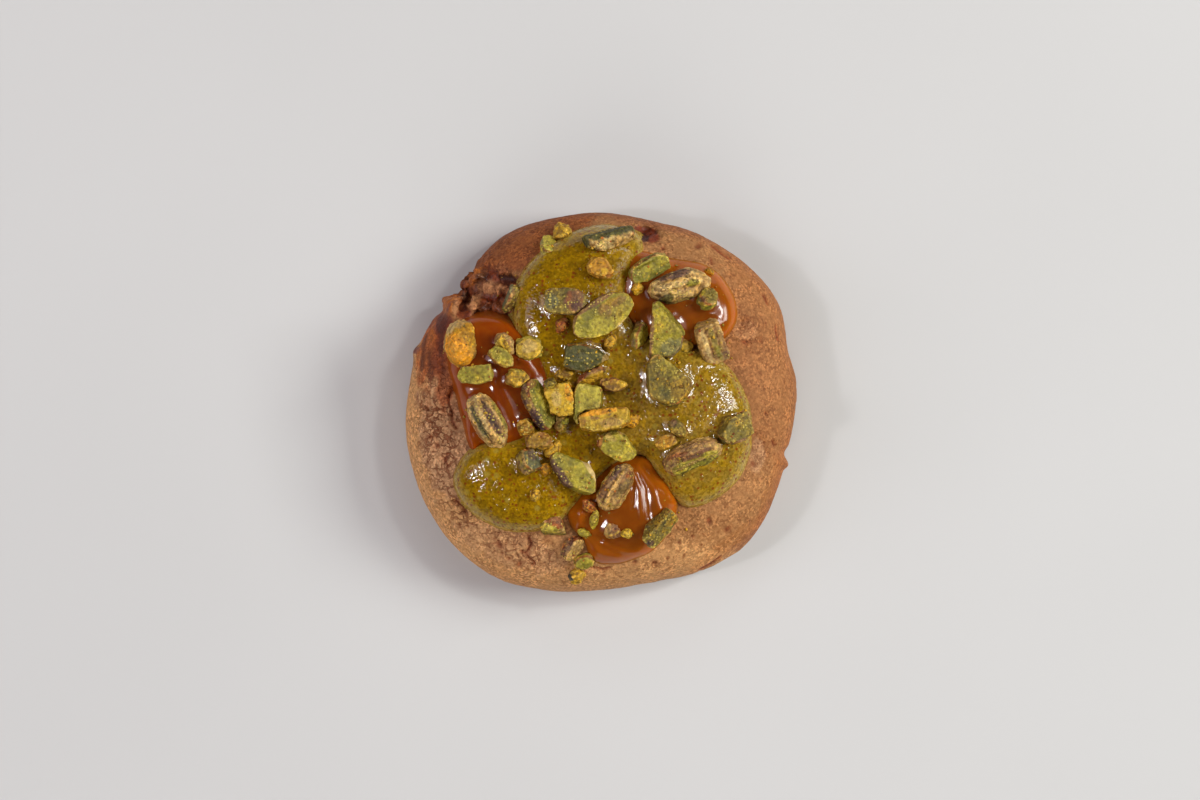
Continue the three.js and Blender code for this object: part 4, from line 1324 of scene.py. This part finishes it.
def kernels() -> tuple[Kernel, ...]:
    """Every kernel's look."""
    t = Tone
    return (
        Kernel("split_green_1", 32, t.LIME, t.TAN, t.HUSK, spots(
            (t.HUSK, -10, 86, 75, 16), (t.GREEN, -62, 15, 22, 50, 50), (t.OLIVE, 50, 10, 45, 60, 70),
            (t.GOLD, 25, 40, 40, 26, 70), (t.HUSK, 5, 15, 20, 50, 50), (t.MOSS, -35, 55, 30, 30, 50),
            (t.HUSK, 55, 25, 26, 20, 50), (t.STRAW, 50, -85, 40, 14, 70), (t.PALE_LIME, -25, -20, 35, 35, 50),
        ), streaks=0.4),
        Kernel("half_ridged_1", 12, t.LIME, t.TAN, t.STRAW, spots(
            (t.PLUM, -15, 62, 62, 30), (t.GREEN, 38, -20, 20, 22), (t.MOSS, -60, -72, 32, 22),
            (t.STRAW, -30, -12, 50, 20, 70), (t.MOSS, 20, -95, 50, 18, 60),
        ), (Groove(0.3, 0.13, 0.45), Groove(-0.45, 0.12, 0.4))),
        Kernel("half_ridged_2", 24, t.LIME, t.TAN, t.HUSK, spots(
            (t.HUSK, 5, 0, 62, 26), (t.GREEN, 15, -88, 75, 24), (t.RUST, -45, 45, 40, 16, 70),
            (t.PLUM, 10, -5, 35, 12, 50), (t.TAN, -20, -45, 60, 12, 80),
        ), (Groove(0.0, 0.22, 0.6), Groove(-0.65, 0.1, 0.35))),
        Kernel("half_ridged_3", -62, t.LIME, t.TAN, t.STRAW, spots(
            (t.PLUM, 0, 42, 72, 24), (t.SAGE, -5, -42, 70, 22), (t.MOSS, 0, -50, 45, 10, 60),
            (t.GREEN, 10, 88, 70, 14, 70), (t.STRAW, -20, -2, 60, 12, 60), (t.RUST, 0, -86, 80, 10, 60),
        ), (Groove(0.42, 0.2, 0.55), Groove(-0.42, 0.2, 0.5))),
        Kernel("half_ridged_4", 60, t.LIME, t.TAN, t.HUSK, spots(
            (t.PLUM, 50, 50, 40, 30), (t.RUST, 72, -50, 22, 30, 80), (t.HUSK, -20, 55, 50, 25, 70),
            (t.TAN, -70, -20, 30, 40, 50), (t.MOSS, 10, -55, 50, 20, 50),
        ), (Groove(0.25, 0.14, 0.45), Groove(-0.3, 0.14, 0.4))),
        Kernel("half_golden_1", 95, t.YOLK, t.AMBER, t.GOLD, spots(
            (t.TAN, 75, 10, 42, 80), (t.TAN, 10, 85, 60, 28, 80), (t.PLUM, 0, 98, 40, 16, 70),
            (t.SUNNY, -35, -15, 60, 75, 90), (t.STRAW, 50, 10, 40, 30, 70),
        ), streaks=0.4, crumble=0.16, clean=0.2),
        Kernel("chunk_golden_1", 8, t.PALE_GOLD, t.AMBER, t.GOLD, spots(
            (t.SUNNY, -20, 60, 80, 30, 80), (t.TAN, 30, -40, 50, 40, 60), (t.HUSK, -45, 20, 10, 14, 80),
            (t.HUSK, -25, 12, 10, 12, 80), (t.HUSK, 25, 25, 8, 12, 70), (t.YOLK, 75, 10, 25, 50, 60),
        ), crumble=0.18, clean=0.15),
        Kernel("chunk_green_1", 86, t.LIME, t.HUSK, t.PLUM, spots(
            (t.HUSK, -20, 90, 90, 28), (t.SAGE, -70, -50, 50, 70, 70), (t.OLIVE, 30, -30, 40, 40, 40),
        )),
        Kernel("chunk_green_2", -60, t.LIME, t.PLUM, t.TAN, spots(
            (t.STRAW, -10, 90, 80, 16, 85), (t.PLUM, 0, -85, 95, 40, 95), (t.GREEN, -50, 50, 30, 30, 50),
            (t.HUSK, -70, 60, 30, 14, 70),
        )),
        Kernel("chunk_olive_1", -38, t.OLIVE, t.OLIVE, t.HUSK, spots(
            (t.RUST, 0, 92, 80, 10), (t.MOSS, 10, -45, 22, 20, 60), (t.GOLD, 50, 0, 40, 50, 40),
            (t.LIME, -30, 30, 30, 35, 35),
        )),
        Kernel("chunk_green_3", -66, t.GREEN, t.PLUM, t.HUSK, spots(
            (t.LIME, -10, 50, 60, 35, 70), (t.PLUM, 45, -50, 50, 40), (t.INK, 55, -45, 30, 22, 50),
            (t.TAN, -10, 95, 80, 10, 70), (t.RUST, -80, 10, 16, 40, 50),
        )),
        Kernel("chunk_olive_2", 24, t.MOSS, t.TAN, t.STRAW, spots(
            (t.TAN, 0, -90, 110, 40, 80), (t.STRAW, -40, -85, 50, 25, 90), (t.MOSS, 10, 10, 160, 85, 100),
            (t.LIME, 92, 30, 12, 50, 70),
        )),
        Kernel("chunk_olive_3", -6, t.MOSS, t.MOSS, t.OLIVE, spots(
            (t.TAN, 85, 0, 18, 40, 60), (t.HUSK, 40, 85, 50, 12, 60), (t.SAGE, -30, 10, 50, 40, 35),
        ), clean=0.35),
        Kernel("chunk_ridged_1", -68, t.TAN, t.TAN, t.HUSK, spots(
            (t.OLIVE, 0, 10, 90, 20), (t.STRAW, 0, -50, 80, 16, 70), (t.HUSK, 30, 75, 60, 16, 70),
            (t.PLUM, 75, 55, 20, 20, 60), (t.GREEN, 50, 20, 40, 20, 50),
        ), (Groove(0.4, 0.14, 0.4), Groove(-0.2, 0.12, 0.35))),
        Kernel("chunk_green_4", 84, t.PALE_LIME, t.GREEN, t.LIME, spots(
            (t.GREEN, -20, 85, 80, 30, 90), (t.MOSS, -70, 50, 30, 30, 40),
        ), clean=0.25),
        Kernel("chunk_green_5", -22, t.LIME, t.RUST, t.TAN, spots(
            (t.RUST, -85, -20, 18, 60, 80), (t.PALE_LIME, 50, -20, 40, 40, 60), (t.TAN, -40, 50, 30, 20, 50),
        ), crumble=0.16),
        Kernel("chunk_olive_4", -5, t.OLIVE, t.SAGE, t.HUSK, spots(
            (t.HUSK, 45, 0, 50, 80, 90), (t.SAGE, -60, -10, 35, 60, 80), (t.RUST, 20, 30, 14, 40, 60),
            (t.PLUM, 60, -30, 30, 40, 70),
        )),
        Kernel("chunk_green_6", 28, t.GREEN, t.GREEN, t.LIME, spots(
            (t.LIME, 10, -10, 70, 30, 70), (t.PALE_LIME, 80, 10, 20, 40, 50), (t.MOSS, 0, 70, 50, 20, 40),
        ), (Groove(0.15, 0.2, 0.4),)),
        Kernel("chip_green_1", 72, t.LIME, t.LIME, t.HUSK, spots((t.HUSK, 70, 40, 30, 40, 80))),
        Kernel("chunk_olive_5", 20, t.OLIVE, t.MOSS, t.OLIVE, spots(
            (t.LIME, 85, -10, 18, 60, 90), (t.HUSK, -10, -90, 40, 20, 80), (t.OLIVE, 0, -45, 50, 25, 60),
        )),
        Kernel("chunk_olive_6", 48, t.OLIVE, t.GOLD, t.HUSK, spots(
            (t.PLUM, -82, 20, 20, 50, 80), (t.MOSS, 10, 50, 60, 25, 60), (t.GOLD, 60, 0, 40, 50, 60),
            (t.INK, -90, 30, 10, 30, 40),
        ), crumble=0.2),
        Kernel("chunk_ridged_2", -20, t.OLIVE, t.HUSK, t.RUST, spots(
            (t.RUST, -20, 60, 90, 34, 80), (t.HUSK, -30, 70, 50, 20, 70), (t.PALE_LIME, -30, -10, 70, 45, 90),
            (t.TAN, 40, 10, 30, 30, 60),
        )),
        Kernel("chip_ridged_1", 60, t.TAN, t.RUST, t.HUSK, spots(
            (t.PLUM, 0, 55, 80, 35, 70), (t.TAN, 10, -50, 70, 35, 70),
        )),
        Kernel("chunk_golden_2", -75, t.YOLK, t.GOLD, t.AMBER, spots(
            (t.SUNNY, -20, 85, 60, 35, 80), (t.STRAW, -10, -20, 45, 40, 50),
        ), clean=0.35),
        Kernel("chip_green_2", 5, t.LIME, t.LIME, t.GREEN, spots(
            (t.GREEN, -40, 30, 50, 40, 40), (t.PALE_LIME, 80, -10, 20, 50, 60),
        ), crumble=0.05, clean=0.2),
        Kernel("chip_golden_1", -15, t.AMBER, t.AMBER, t.YOLK, spots(
            (t.YOLK, 30, -30, 30, 30, 60),
        ), crumble=0.2),
        Kernel("chip_green_3", -72, t.PALE_LIME, t.PALE_LIME, t.SAGE, spots(
            (t.SAGE, -20, -50, 50, 30, 60), (t.PALE_LIME, 20, 40, 50, 30, 50),
        )),
        Kernel("chip_olive_1", 62, t.SAGE, t.OLIVE, t.HUSK, spots(
            (t.RUST, 10, 85, 70, 16, 90), (t.GREEN, -80, 0, 30, 50, 60),
        )),
        Kernel("chip_golden_2", 5, t.PALE_GOLD, t.LIME, t.PALE_LIME, spots(
            (t.STRAW, 0, 10, 60, 60, 50),
        ), crumble=0.2, clean=0.15),
        Kernel("chip_golden_3", 25, t.GOLD, t.HUSK, t.RUST, spots(
            (t.RUST, -60, 40, 50, 40, 80), (t.CHOCOLATE_BROWN, -80, 60, 30, 30, 60),
        )),
        Kernel("chip_golden_4", -50, t.PALE_GOLD, t.TAN, t.HUSK, spots((t.HUSK, -70, -20, 25, 60, 70))),
        Kernel("chip_green_4", -40, t.LIME, t.LIME, t.OLIVE, spots((t.RUST, 0, -90, 80, 20, 60))),
        Kernel("chip_golden_5", -10, t.GOLD, t.OCHRE, t.GREEN, spots((t.GREEN, 0, 70, 50, 30, 50))),
        Kernel("bit_golden_1", -4, t.OCHRE, t.HUSK, t.GOLD, spots(
            (t.YOLK, 60, 20, 30, 50, 60), (t.PLUM, -20, -40, 40, 25, 40),
        ), crumble=0.2),
        Kernel("bit_olive_1", 60, t.OLIVE, t.GREEN, t.MOSS, spots(
            (t.PLUM, -30, 30, 25, 30, 60), (t.LIME, 30, 70, 40, 20, 50),
        ), crumble=0.2),
        Kernel("bit_olive_2", -60, t.SAGE, t.OLIVE, t.HUSK, spots(
            (t.PLUM, -30, 50, 40, 40, 70),
        ), crumble=0.2),
        Kernel("bit_golden_2", 10, t.PALE_GOLD, t.PALE_GOLD, t.YOLK, crumble=0.2),
        Kernel("bit_golden_3", 30, t.AMBER, t.GOLD, t.YOLK, crumble=0.22),
        Kernel("bit_golden_4", 15, t.OCHRE, t.OCHRE, t.HUSK, crumble=0.22),
        Kernel("bit_golden_5", 0, t.OCHRE, t.OCHRE, t.AMBER, crumble=0.2),
        Kernel("bit_golden_6", 80, t.OLIVE, t.GOLD, t.LIME, crumble=0.2),
        Kernel("bit_golden_7", 25, t.AMBER, t.OCHRE, t.YOLK, crumble=0.22),
        Kernel("bit_olive_3", -45, t.TAN, t.OLIVE, t.RUST, spots((t.PLUM, -50, 0, 30, 50, 70))),
        Kernel("bit_golden_8", 5, t.OCHRE, t.OCHRE, t.YOLK, crumble=0.22),
        Kernel("bit_green_1", 10, t.LIME, t.LIME, t.GREEN, crumble=0.12),
        Kernel("bit_golden_9", 40, t.YOLK, t.GOLD, t.YOLK, spots((t.INK, -40, 60, 45, 35, 95))),
        Kernel("bit_golden_10", 20, t.TAN, t.HUSK, t.PALE_GOLD, crumble=0.24),
    )


DRIFTS = {
    "green": (Tone.PALE_GOLD, Tone.MOSS), "olive": (Tone.GOLD, Tone.MOSS),
    "golden": (Tone.YOLK, Tone.RUST), "ridged": (Tone.STRAW, Tone.HUSK),
}


@dataclass
class NutWork:
    """Turns each faceted kernel solid into a chopped nut with cut faces, skin, wrinkles and crumble."""

    dough: Dough
    spreads: tuple[Spread, ...]
    voxel: float = 0.22
    under_growth: float = 0.5
    least_face: float = 0.035
    least_small_face: float = 0.075
    materials: dict[str, Material] = field(default_factory=dict)

    def surface(self, x: Array, y: Array) -> Array:
        """Height of what the kernels lie on."""
        tops = [spread.top(self.dough, x, y) for spread in self.spreads]
        return np.max([self.dough.crust_level(x, y), *tops], axis=0)

    def frame_of(self, middle: Array, turn: float, reach: float) -> Array:
        """A kernel's own axes: along it, across it and up from what it lies on, one a column."""
        x, y = middle[:2]
        level = self.surface(x + reach * np.array((1, -1, 0, 0)), y + reach * np.array((0, 0, 1, -1)))
        slope_x, slope_y = (level[0] - level[1]) / (2 * reach), (level[2] - level[3]) / (2 * reach)
        tilt = Vector((0, 0, 1)).rotation_difference(Vector((-slope_x, -slope_y, 1)).normalized())
        return np.array((tilt @ Quaternion((0, 0, 1), math.radians(turn))).to_matrix())

    @staticmethod
    def cut_faces(solid: Piece, axes: Array, least: float) -> list[tuple[Array, float]]:
        """The flat faces that the knife left: normal and distance of each.

        Args:
            solid: the kernel's solid, merged.
            axes: its own axes.
            least: smallest share of the whole area that counts.
        """
        mesh = solid.data
        normals = np.array([p.normal for p in mesh.polygons])
        middles = np.array([p.center for p in mesh.polygons]) / MM - (*DRAWING_MIDDLE, 0)
        areas = np.array([p.area for p in mesh.polygons])
        free = np.ones(len(areas), dtype=bool)
        found = []
        for i in np.argsort(-areas):
            if not free[i]:
                continue
            reach = normals[i] @ middles[i]
            flat = free & (normals @ normals[i] > 0.999) & (np.abs(middles @ normals[i] - reach) < 0.04)
            free &= ~flat
            if areas[flat].sum() > least * areas.sum() and normals[i] @ axes[:, 2] > -0.35:
                found.append((normals[i], reach))
        return found

    def build(self, kernel: Kernel) -> Piece:
        """Makes and dresses one kernel."""
        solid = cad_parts[kernel.node]
        piece = linked(f"nut_{kernel.node}", solid.data.copy())
        piece.data.name = piece.name
        body = bmesh.new()
        body.from_mesh(piece.data)
        bmesh.ops.remove_doubles(body, verts=body.verts, dist=1e-6)
        body.to_mesh(piece.data)
        body.free()
        raw = points_of(piece)
        middle = (raw.min(axis=0) + raw.max(axis=0)) / 2
        axes = self.frame_of(middle, kernel.turn, 0.3 * float(np.ptp(raw[:, :2], axis=0).max()))
        small = kernel.form in ("chip", "bit")
        faces = self.cut_faces(piece, axes, self.least_small_face if small else self.least_face)
        remesh = piece.modifiers.new("even", "REMESH")
        remesh.mode = "VOXEL"
        remesh.voxel_size = self.voxel * MM
        soften = piece.modifiers.new("soften", "SMOOTH")
        soften.factor = 0.5
        soften.iterations = 5 if small else 8
        apply_all(piece)
        self.carve(piece, kernel, middle, axes, faces)
        if kernel.slot not in self.materials:
            self.materials[kernel.slot] = NutFinish(kernel.slot).material()
        finish_piece(piece, kernel.slot, self.materials[kernel.slot], kernel.node)
        return piece

    def carve(self, piece: Piece, kernel: Kernel, middle: Array, axes: Array, faces: list) -> None:
        """Adds a kernel's relief and tones to its even mesh.

        Args:
            piece: the even mesh.
            kernel: how it looks.
            middle: its middle, in the drawing.
            axes: its own axes.
            faces: its cut faces.
        """
        points, normals = points_of(piece), normals_of(piece)
        seed = sum(map(ord, kernel.node)) % 83

        def uneven(pitch: float, kind: int) -> Array:
            """Noise of the kernel's own, where its points are now."""
            return unevenness(points, pitch, seed + kind)

        own = (points - middle) @ axes
        half = np.maximum(np.abs(own).max(axis=0), 0.5)
        along, across, up = (own / half).T
        stretched = own * (0.22, 1.0, 1.0)
        cut = np.zeros(len(points))
        line = np.zeros(len(points))
        ragged = 0.2 * uneven(1.2, 1)
        for normal, reach in faces:
            below = reach - points @ normal + ragged
            cut = np.maximum(cut, ramp(below, 0.42, 0.2))
            line = np.maximum(line, ramp(below, 0.2, 0.42) * ramp(below, 1.1, 0.6))
        line = line * (1 - cut)
        skin = 1 - cut
        wrinkle = unevenness(stretched, 0.95, seed + 2)
        fine = unevenness(stretched, 0.5, seed + 3)
        first, _, lot = cells_of(points, 0.95, seed + 4)
        chip, _, _ = cells_of(points, 2.9, seed + 14)
        out = skin * (0.2 * wrinkle + 0.08 * fine)
        out += cut * (0.11 * uneven(0.9, 5) + 0.1 * layered(points, 1.6, seed + 6))
        crumbly = 1.3 * layered(points, 2.4, seed + 7) + 1.1 * (0.45 - first)
        out += kernel.crumble * crumbly + 0.3 * (chip - 0.5)
        grit = uneven(0.62, 15)
        out += 0.24 * uneven(3.1, 16) + 0.07 * grit
        furrow = np.zeros(len(points))
        for groove in kernel.grooves:
            bend = groove.across + 0.08 * unevenness(own * (0.3, 0, 0), 2.0, seed + 8)
            mouth = np.exp(-(((across - bend) / groove.width) ** 2)) * ramp(np.abs(along), 0.95, 0.6)
            out -= groove.depth * mouth * ramp(up, -0.3, 0.2)
            furrow = np.maximum(furrow, mouth)
        points = points + normals * out[:, None]
        under = ramp(up, -0.1, -0.45) * ramp(normals[:, 2], -0.1, -0.5)
        points[:, 2] -= self.under_growth * under
        set_points(piece, points)

        drift = layered(points, 3.2, seed + 17, 2) + 0.25 * uneven(0.8, 18)
        warm, dull = DRIFTS[kernel.hue]
        streak = ramp(wrinkle + 0.5 * unevenness(stretched, 2.1, seed + 9), 0.0, 0.45)
        outline = mixed(Tone.RUST, Tone.TAN, ramp(uneven(2.2, 19), -0.1, 0.1))
        grains = ramp(first, 0.42, 0.2)
        tone = coated(
            kernel.skin,
            (kernel.flesh, cut),
            (warm, 0.5 * ramp(drift, 0.12, 0.6)),
            (dull, 0.5 * ramp(drift, -0.12, -0.6)),
            (kernel.streak, streak * skin * kernel.streaks),
            (outline, (0.3 if kernel.hue == "golden" else 0.85) * line),
            (Tone.PALE_GOLD, (0.6 - 1.2 * kernel.clean) * grains * (lot < 0.24)),
            (Tone.HUSK, 0.35 * grains * (lot > 0.9)),
        )
        edge = 0.2 * uneven(1.3, 10) + 0.14 * uneven(0.6, 11)
        for patch in kernel.patches:
            cover = ramp(hump(along, across, patch.at, patch.reach) + edge, 0.25, 0.6)
            tone = mixed(tone, patch.tone, cover * patch.strength)
        # Painted light: edges that stand out are painted lighter and straw-coloured, partly worn edges and
        # partly painted highlight; pits and grooves are painted darker as painted shade.
        stands = bulging(piece)
        tone = mixed(tone, mixed(tone * 1.7, Tone.STRAW, 0.28), 0.75 * ramp(stands, 0.03, 0.18))
        tone = mixed(tone, tone * (0.42, 0.33, 0.24), 0.85 * ramp(stands, -0.01, -0.13) + 0.25 * furrow)
        mottle = 1 + 0.24 * uneven(0.9, 12) + 0.2 * uneven(2.4, 13) + 0.22 * grit
        # Painted shade: the kernel's lower part is painted darker, most of all in blue.
        low = ramp(up, -0.05, -0.6)[:, None] * (0.35, 0.45, 0.6)
        set_tones(piece, 0.9 * tone * mottle[:, None] * (1 - low))
        set_shares(piece, "grit", np.clip(kernel.grit + 0.2 * skin + 0.7 * drift, 0.15, 1))


# ---- crumbs


@dataclass(frozen=True)
class Crumb:
    """One crumb that is fused to a topping in the solids: place, size, turn and tone."""

    at: Pair
    size: Triple
    turn: float
    tone: Tone


def crumbs_of(*rows: tuple) -> tuple[Crumb, ...]:
    """Crumbs from rows of place, length, width, height, turn and tone."""
    return tuple(Crumb((x, y), (a, b, c), turn, tone) for x, y, a, b, c, turn, tone in rows)


@dataclass
class Crumbs:
    """The crumbs of one finish, as one piece: the drawn ones, and finer grains strewn round the kernels."""

    name: str
    slot: str
    tone: Tone
    drawn: tuple[Crumb, ...]
    grains: int
    seed: int
    grain_size: Pair = (0.28, 0.85)
    grain_shapes: int = 6
    drop_from: float = 60
    ceiling: float = 33.4
    steepest: float = 0.35

    def lump(self, detail: int, seed: int) -> tuple[Array, Array]:
        """A rough crumb of unit size: its corners and its triangles."""
        deselect()
        bpy.ops.mesh.primitive_ico_sphere_add(subdivisions=detail, radius=1.0)
        ball = bpy.context.object
        corners = corners_of(ball.data)
        sides = np.empty(len(ball.data.polygons) * 3, dtype=np.int64)
        ball.data.polygons.foreach_get("vertices", sides)
        mesh = ball.data
        bpy.data.objects.remove(ball)
        bpy.data.meshes.remove(mesh)
        lumpy = 1 + 0.28 * unevenness(corners, 0.8, seed) + 0.12 * unevenness(corners, 0.35, seed + 1)
        return corners * lumpy[:, None], sides.reshape(-1, 3)

    def build(self, ground: BVHTree, spots: Array, material: Material) -> Piece:
        """Makes the piece.

        Args:
            ground: all that a crumb may lie on.
            spots: places where fine grains may fall.
            material: its finish.
        """
        rng = np.random.default_rng(self.seed)
        corners, sides, tones = [], [], []
        count = 0

        def add(shape: tuple[Array, Array], crumb: Crumb, sunk: float) -> None:
            """Lays one crumb on the ground below its place."""
            nonlocal count
            at, size, turn, tone = crumb.at, crumb.size, crumb.turn, crumb.tone
            across, along = at[0] + DRAWING_MIDDLE[0], at[1] + DRAWING_MIDDLE[1]
            start = Vector((across * MM, along * MM, self.drop_from * MM))
            hit, facing, _, _ = ground.ray_cast(start, Vector((0, 0, -1)))
            if hit is None or facing.z < self.steepest or hit.z > self.ceiling * MM:
                return
            body, faces = shape
            spin = Quaternion((0, 0, 1), math.radians(turn))
            level = Vector((0, 0, 1)).rotation_difference(facing)
            turned = (body * np.array(size) / 2) @ np.array((level @ spin).to_matrix()).T
            base = np.array(hit) / MM + np.array(facing) * (0.5 - sunk) * size[2]
            placed = turned + base - (*DRAWING_MIDDLE, 0)
            corners.append(placed)
            sides.append(faces + count)
            shade = tone.linear() * (1 + 0.25 * unevenness(placed, 0.7, self.seed))[:, None]
            speckled = 0.4 * ramp(unevenness(placed, 0.5, 9), 0.1, 0.6)
            tones.append(mixed(shade, Tone.PALE_GOLD, speckled))
            count += len(body)

        for k, crumb in enumerate(self.drawn):
            add(self.lump(4, self.seed + 3 * k), crumb, 0.26)
        small = [self.lump(2, self.seed + 50 + k) for k in range(self.grain_shapes)]
        for at in spots[rng.permutation(len(spots))[: self.grains]]:
            wide = rng.uniform(*self.grain_size) * rng.uniform(0.6, 1)
            size = (wide * rng.uniform(0.9, 1.6), wide, wide * rng.uniform(0.6, 0.9))
            shape = small[rng.integers(self.grain_shapes)]
            add(shape, Crumb(tuple(at), size, rng.uniform(0, 360), self.tone), 0.2)
        mesh = bpy.data.meshes.new(self.name)
        places = (np.concatenate(corners) + (*DRAWING_MIDDLE, 0)) * MM
        mesh.from_pydata(places.tolist(), [], np.concatenate(sides).tolist())
        piece = linked(self.name, mesh)
        set_tones(piece, np.concatenate(tones))
        set_shares(piece, "grit", np.ones(len(places)))
        finish_piece(piece, self.slot, material)
        return piece


def crumb_kinds() -> tuple[Crumbs, ...]:
    """The three kinds of crumb."""
    t = Tone
    golden = crumbs_of(
        (-3.6, 15.3, 5.2, 3.2, 3.0, -10, t.OLIVE), (1.9, 14.5, 4.6, 3.0, 2.8, 60, t.GOLD),
        (-9.6, 18.4, 3.8, 3.4, 2.8, 80, t.RUST), (-12.0, -11.8, 5.2, 3.2, 2.8, 50, t.GOLD),
        (-13.4, -16.4, 3.0, 3.0, 2.4, 0, t.AMBER), (-16.2, -22.6, 3.4, 2.6, 2.6, 80, t.GOLD),
        (7.6, -4.6, 3.8, 3.2, 2.8, 10, t.AMBER), (6.1, -32.0, 2.8, 2.2, 2.2, 0, t.PALE_GOLD),
        (26.2, 31.6, 2.4, 1.5, 1.5, -30, t.AMBER), (8.6, 27.6, 3.2, 2.6, 2.6, 70, t.GOLD),
    )
    green = crumbs_of(
        (-12.3, 3.9, 3.0, 2.6, 2.4, 20, t.OLIVE), (-1.7, -28.7, 4.6, 2.2, 2.4, 75, t.LIME),
        (-4.2, -31.8, 3.6, 2.0, 2.2, -15, t.LIME), (-8.9, -4.9, 2.0, 1.6, 1.5, 30, t.GREEN),
    )
    brown = crumbs_of((-3.2, -25.2, 4.2, 3.2, 2.8, -30, t.RUST))
    return (
        Crumbs("crumbs_golden", "nut_golden", t.GOLD, golden, 170, 5),
        Crumbs("crumbs_green", "nut_green", t.OLIVE, green, 90, 6),
        Crumbs("crumbs_brown", "nut_skin", t.RUST, brown, 60, 7),
    )


# ---- the studio


class Beam(Enum):
    """What a lamp's light is for, as (lights, shines)."""

    WHOLE = (True, True)
    SOFT = (True, False)
    GLINT = (False, True)


@dataclass
class Studio:
    """A plain pale floor, soft light from the right with a cooler one from the left, and the camera."""

    camera_height: float = 0.8
    lens: float = 95.1
    axis: Pair = (-0.285, 0.57)
    floor_half: float = 1.5
    lamp_reach: float = 1.7

    def floor(self) -> None:
        """Lays the floor."""
        deselect()
        bpy.ops.mesh.primitive_plane_add(size=2 * self.floor_half)
        plane = bpy.context.object
        plane.name = "floor"
        board = Board("floor")
        cloud = board.remap(board.noise(160), 0.3, 0.7)
        tone = board.coat((0.61, 0.605, 0.59, 1), (0.63, 0.625, 0.61), cloud, 1.0)
        board.set(Base_Color=tone, Roughness=0.8)
        plane.data.materials.append(board.material)

    def lamp(self, name: str, bearing: float, height: float, size: Pair, light: float, colour: Triple,
             beam: Beam = Beam.WHOLE) -> None:
        """Hangs one softbox and faces it to the cookie.

        Args:
            name: its name.
            bearing: its direction from the cookie, in degrees from the right of the picture.
            height: its height above the floor, in degrees.
            size: its width and height, seen from a metre away.
            light: how bright its face is.
            colour: its colour.
            beam: what it is for.
        """
        data = bpy.data.lights.new(name, "AREA")
        data.shape = "RECTANGLE"
        data.size, data.size_y = size[0] * self.lamp_reach, size[1] * self.lamp_reach
        data.energy = light * math.pi * data.size * data.size_y
        data.color = colour
        lamp = linked(name, data)
        lamp.visible_diffuse, lamp.visible_glossy = beam.value
        turn, rise = math.radians(bearing), math.radians(height)
        at = Vector((math.cos(rise) * math.cos(turn), math.cos(rise) * math.sin(turn), math.sin(rise)))
        lamp.location = at * self.lamp_reach
        lamp.rotation_euler = (-at).to_track_quat("-Z", "Y").to_euler()

    def build(self) -> None:
        """Sets up the floor, the lights and the camera."""
        self.floor()
        self.lamp("key", 12, 36, (0.5, 0.3), 16.0, (0.98, 1.0, 0.97))
        self.lamp("key_top", 16, 60, (0.4, 0.36), 1.5, (1.0, 0.95, 1.0))
        self.lamp("key_middle", 30, 54, (0.085, 0.11), 44, (1.0, 1.0, 1.0))
        self.lamp("window", 180, 40, (0.42, 0.6), 3.0, (0.97, 0.87, 1.0))
        self.lamp("window_middle", 188, 50, (0.06, 0.08), 80, (1.0, 1.0, 1.0))
        self.lamp("front", 265, 36, (0.7, 0.5), 2.6, (1.0, 0.98, 0.96), Beam.SOFT)
        self.lamp("back", 95, 42, (0.6, 0.4), 1.4, (1.0, 0.96, 0.97), Beam.SOFT)
        self.lamp("key_glint", 30, 54, (0.15, 0.18), 36, (1.0, 1.0, 1.0), Beam.GLINT)
        self.lamp("window_glint", 190, 50, (0.15, 0.17), 40, (0.98, 0.97, 1.0), Beam.GLINT)
        world = bpy.data.worlds.new("studio")
        world.use_nodes = True
        world.node_tree.nodes["Background"].inputs["Color"].default_value = (1.0, 0.94, 0.97, 1)
        world.node_tree.nodes["Background"].inputs["Strength"].default_value = 0.06
        scene = bpy.context.scene
        scene.world = world
        scene.view_settings.view_transform = "Standard"
        camera = bpy.data.cameras.new("camera")
        camera.lens = self.lens
        camera.clip_start, camera.clip_end = 0.01, 20
        holder = linked("camera", camera)
        holder.location = (self.axis[0] * MM, self.axis[1] * MM, self.camera_height)
        scene.camera = holder


# ---- assembly


def ground_of(pieces: list[Piece]) -> BVHTree:
    """All the pieces' surfaces as one thing to drop crumbs on."""
    places, sides, start = [], [], 0
    for piece in pieces:
        mesh = piece.data
        places.append(corners_of(mesh))
        sides += [[start + v for v in p.vertices] for p in mesh.polygons]
        start += len(mesh.vertices)
    return BVHTree.FromPolygons(np.concatenate(places).tolist(), sides)


def grain_spots(around: Array, seed: int) -> Array:
    """Places for fine grains: near the kernels, seen from above."""
    rng = np.random.default_rng(seed)
    picks = around[rng.integers(len(around), size=900)][:, :2]
    return picks + rng.normal(0, 1.7, picks.shape)


def main() -> None:
    """Builds the cookie and its studio."""
    logging.basicConfig(level=logging.INFO, format="%(message)s")
    dough = Dough()
    dollop, pools = cream(), caramels()
    work = NutWork(dough, (dollop, *pools))
    nuts = [work.build(kernel) for kernel in kernels()]
    around = np.concatenate([points_of(nut)[::3] for nut in nuts])
    tree = KDTree(len(around))
    for i, point in enumerate(around):
        tree.insert(point, i)
    tree.balance()
    sheets = [dollop.build(dough, tree)]
    caramel = CaramelFinish().material()
    sheets += [pool.build(dough, tree, caramel) for pool in pools]
    base = dough.build()
    ground = ground_of([base, *sheets, *nuts])
    spots = grain_spots(around, 3)
    shares = np.array_split(spots, 3)
    for kind, places in zip(crumb_kinds(), shares):
        kind.build(ground, places, NutFinish(kind.name).material())
    Studio().build()


if __name__ == "__main__":
    main()
